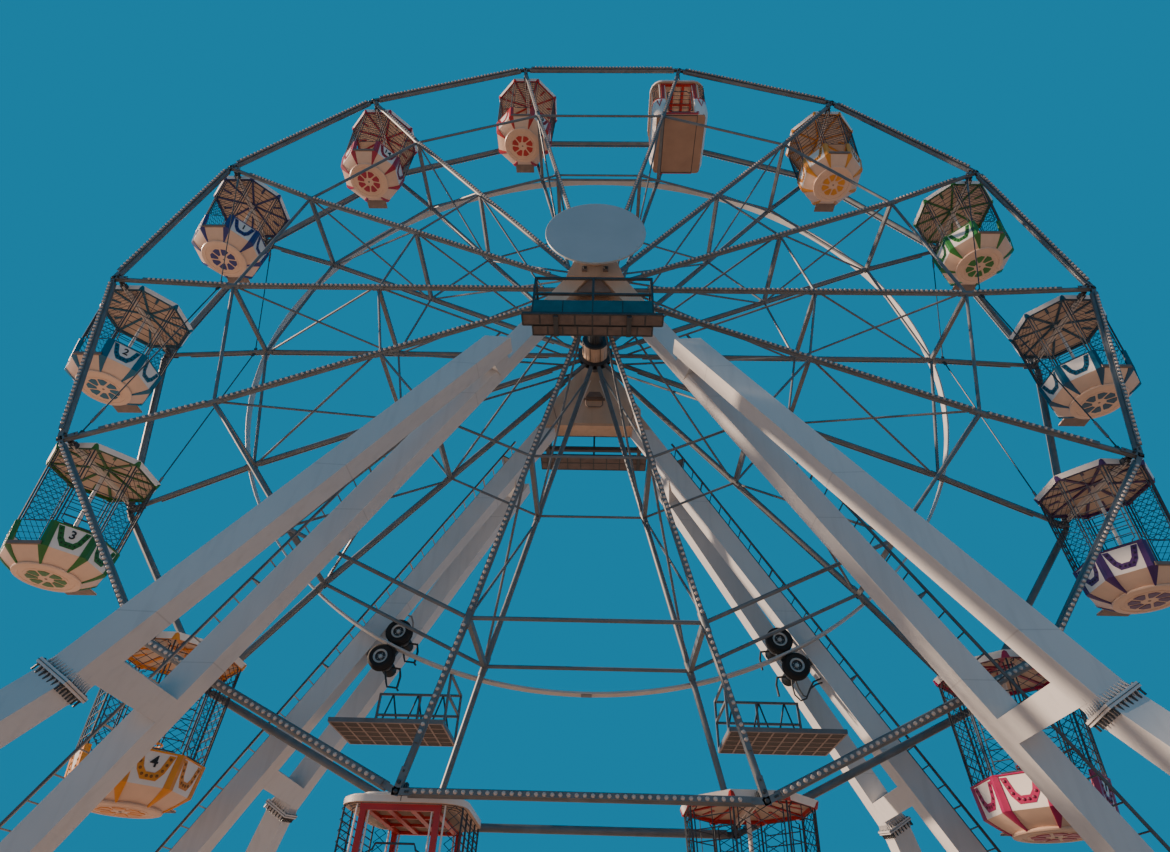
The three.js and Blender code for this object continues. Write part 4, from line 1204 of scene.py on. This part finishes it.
def leg_details():
    shape = Shape()
    for sy in (-1, 1):
        for sx in (-1, 1):
            kink = outer_point(sx, sy, KINK_DROP)
            flange_details(shape, kink, (kink - outer_point(sx, sy, OUTER_TOP)).normalized())
            # Ladder rungs between the solid ones
            out = vec(sx, 0, LEG_SLOPE).normalized()
            for i in range(RUNGS):
                if i % 7 == 3:
                    continue
                drop = mix(LADDER_TOP, LADDER_BOTTOM, (i + 0.5) / RUNGS)
                centre = inner_point(sx, sy, drop) + out * LADDER_OFFSET
                reach = BACK * LADDER_HALF
                shape.tube([centre - reach, centre + reach], 0.011, 6, LADDER_PAINT)
    shape.build("leg_fittings", "supports")


leg_details()


def head_details():
    shape = Shape()

    def at(y, *places):
        """Points at one depth, placed from the hub by (x, z)."""
        return [vec(x, y, HUB_HEIGHT + z) for x, z in places]

    # Raised panel, bearing cover and hand rails on the wheel side of the back head
    y = INNER_LEG_Y - LEG_DEPTH / 2 - 0.03
    raised = at(y, (-0.10, -0.42), (0.10, -0.42), (0.46, -1.76), (-0.46, -1.76))
    shape.plate(raised, BACK * -0.022, HEAD_PAINT)
    cover = at(y - 0.02, (-0.12, -0.86), (0.12, -0.86), (0.2, -1.02), (-0.2, -1.02))
    shape.plate(cover, BACK * -0.09, SILL)
    lip = at(y - 0.02, (-0.24, -1.04), (0.24, -1.04), (0.24, -1.06), (-0.24, -1.06))
    shape.plate(lip, BACK * -0.07, SILL)
    rail = at(y - 0.06, (-0.19, -1.07), (-0.19, -1.22), (-0.14, -1.28), (0.14, -1.28), (0.19, -1.22),
              (0.19, -1.07))
    shape.tube(rail, 0.014, 8, SILL)
    for s in (-1, 1):
        shape.bar(*at(y - 0.02, (s * 0.105, -0.42), (s * 0.475, -1.77)), 0.018, 0.03, SHELL, RIGHT)
        shape.bar(*at(y - 0.004, (s * 0.95, -1.2), (s * 0.80, -1.795)), 0.014, 0.012, SILL, RIGHT)
    # Neck plate with two bolts in front of the front head, and the disc's bright edge
    y = -INNER_LEG_Y - LEG_DEPTH / 2 - 0.002
    neck = at(y, (-0.57, -0.62), (0.57, -0.62), (0.43, -0.12), (-0.43, -0.12))
    shape.plate(neck, -BACK * 0.03, HEAD_PAINT)
    gap = at(-1.70, (-0.34, -1.02), (0.34, -1.02), (0.1, -0.62), (-0.1, -0.62))
    shape.plate(gap, BACK * 0.02, SILL)
    for s in (-1, 1):
        low, = at(-1.80, (s * 0.21 - 0.05, -0.48))
        high, = at(-1.762, (s * 0.21 + 0.05, -0.34))
        shape.block(low, high, SILL)
        bolt, = at(-1.80, (s * 0.21, -0.40))
        shape.dome(bolt, -BACK, 0.04, 0.04, DARK_STEEL, 8)
    edge = circle(HUB - BACK * 2.333, DISC_EDGE, 96, RIGHT, UP)
    shape.tube(edge, 0.012, 8, HUB_PAINT, closed=True)
    for spot in circle(HUB - BACK * 2.342, DISC_BOLTS, 12, RIGHT, UP):
        shape.dome(spot, -BACK, 0.014, 0.008, HUB_PAINT, 8)
    shape.build("head_fittings", "supports")


head_details()


# Stage and light

STAGE_HALF = 60


def add_stage():
    mesh = bpy.data.meshes.new("floor")
    corners = [(x * STAGE_HALF, y * STAGE_HALF, 0) for x, y in ((-1, -1), (1, -1), (1, 1), (-1, 1))]
    mesh.from_pydata(corners, [], [(0, 1, 2, 3)])
    mesh.materials.append(STAGE)
    floor = bpy.data.objects.new("floor", mesh)
    bpy.context.scene.collection.objects.link(floor)


def add_light(name, toward, energy, angle, colour):
    data = bpy.data.lights.new(name, "SUN")
    data.energy = energy
    data.angle = math.radians(angle)
    data.color = colour
    light = bpy.data.objects.new(name, data)
    light.rotation_euler = Vector(toward).to_track_quat("-Z", "Y").to_euler()
    bpy.context.scene.collection.objects.link(light)


add_stage()
add_light("key", (0.90, -0.07, -0.36), 9.0, 2, (1.0, 0.74, 0.54))
add_light("front_fill", (-0.15, 0.9, 0.1), 0.25, 60, (0.40, 0.75, 1.0))
world = bpy.data.worlds.new("studio")
world.use_nodes = True
backdrop = world.node_tree.nodes["Background"]
backdrop.inputs["Color"].default_value = (0.012, 0.285, 0.52, 1)
backdrop.inputs["Strength"].default_value = 0.75
bpy.context.scene.world = world
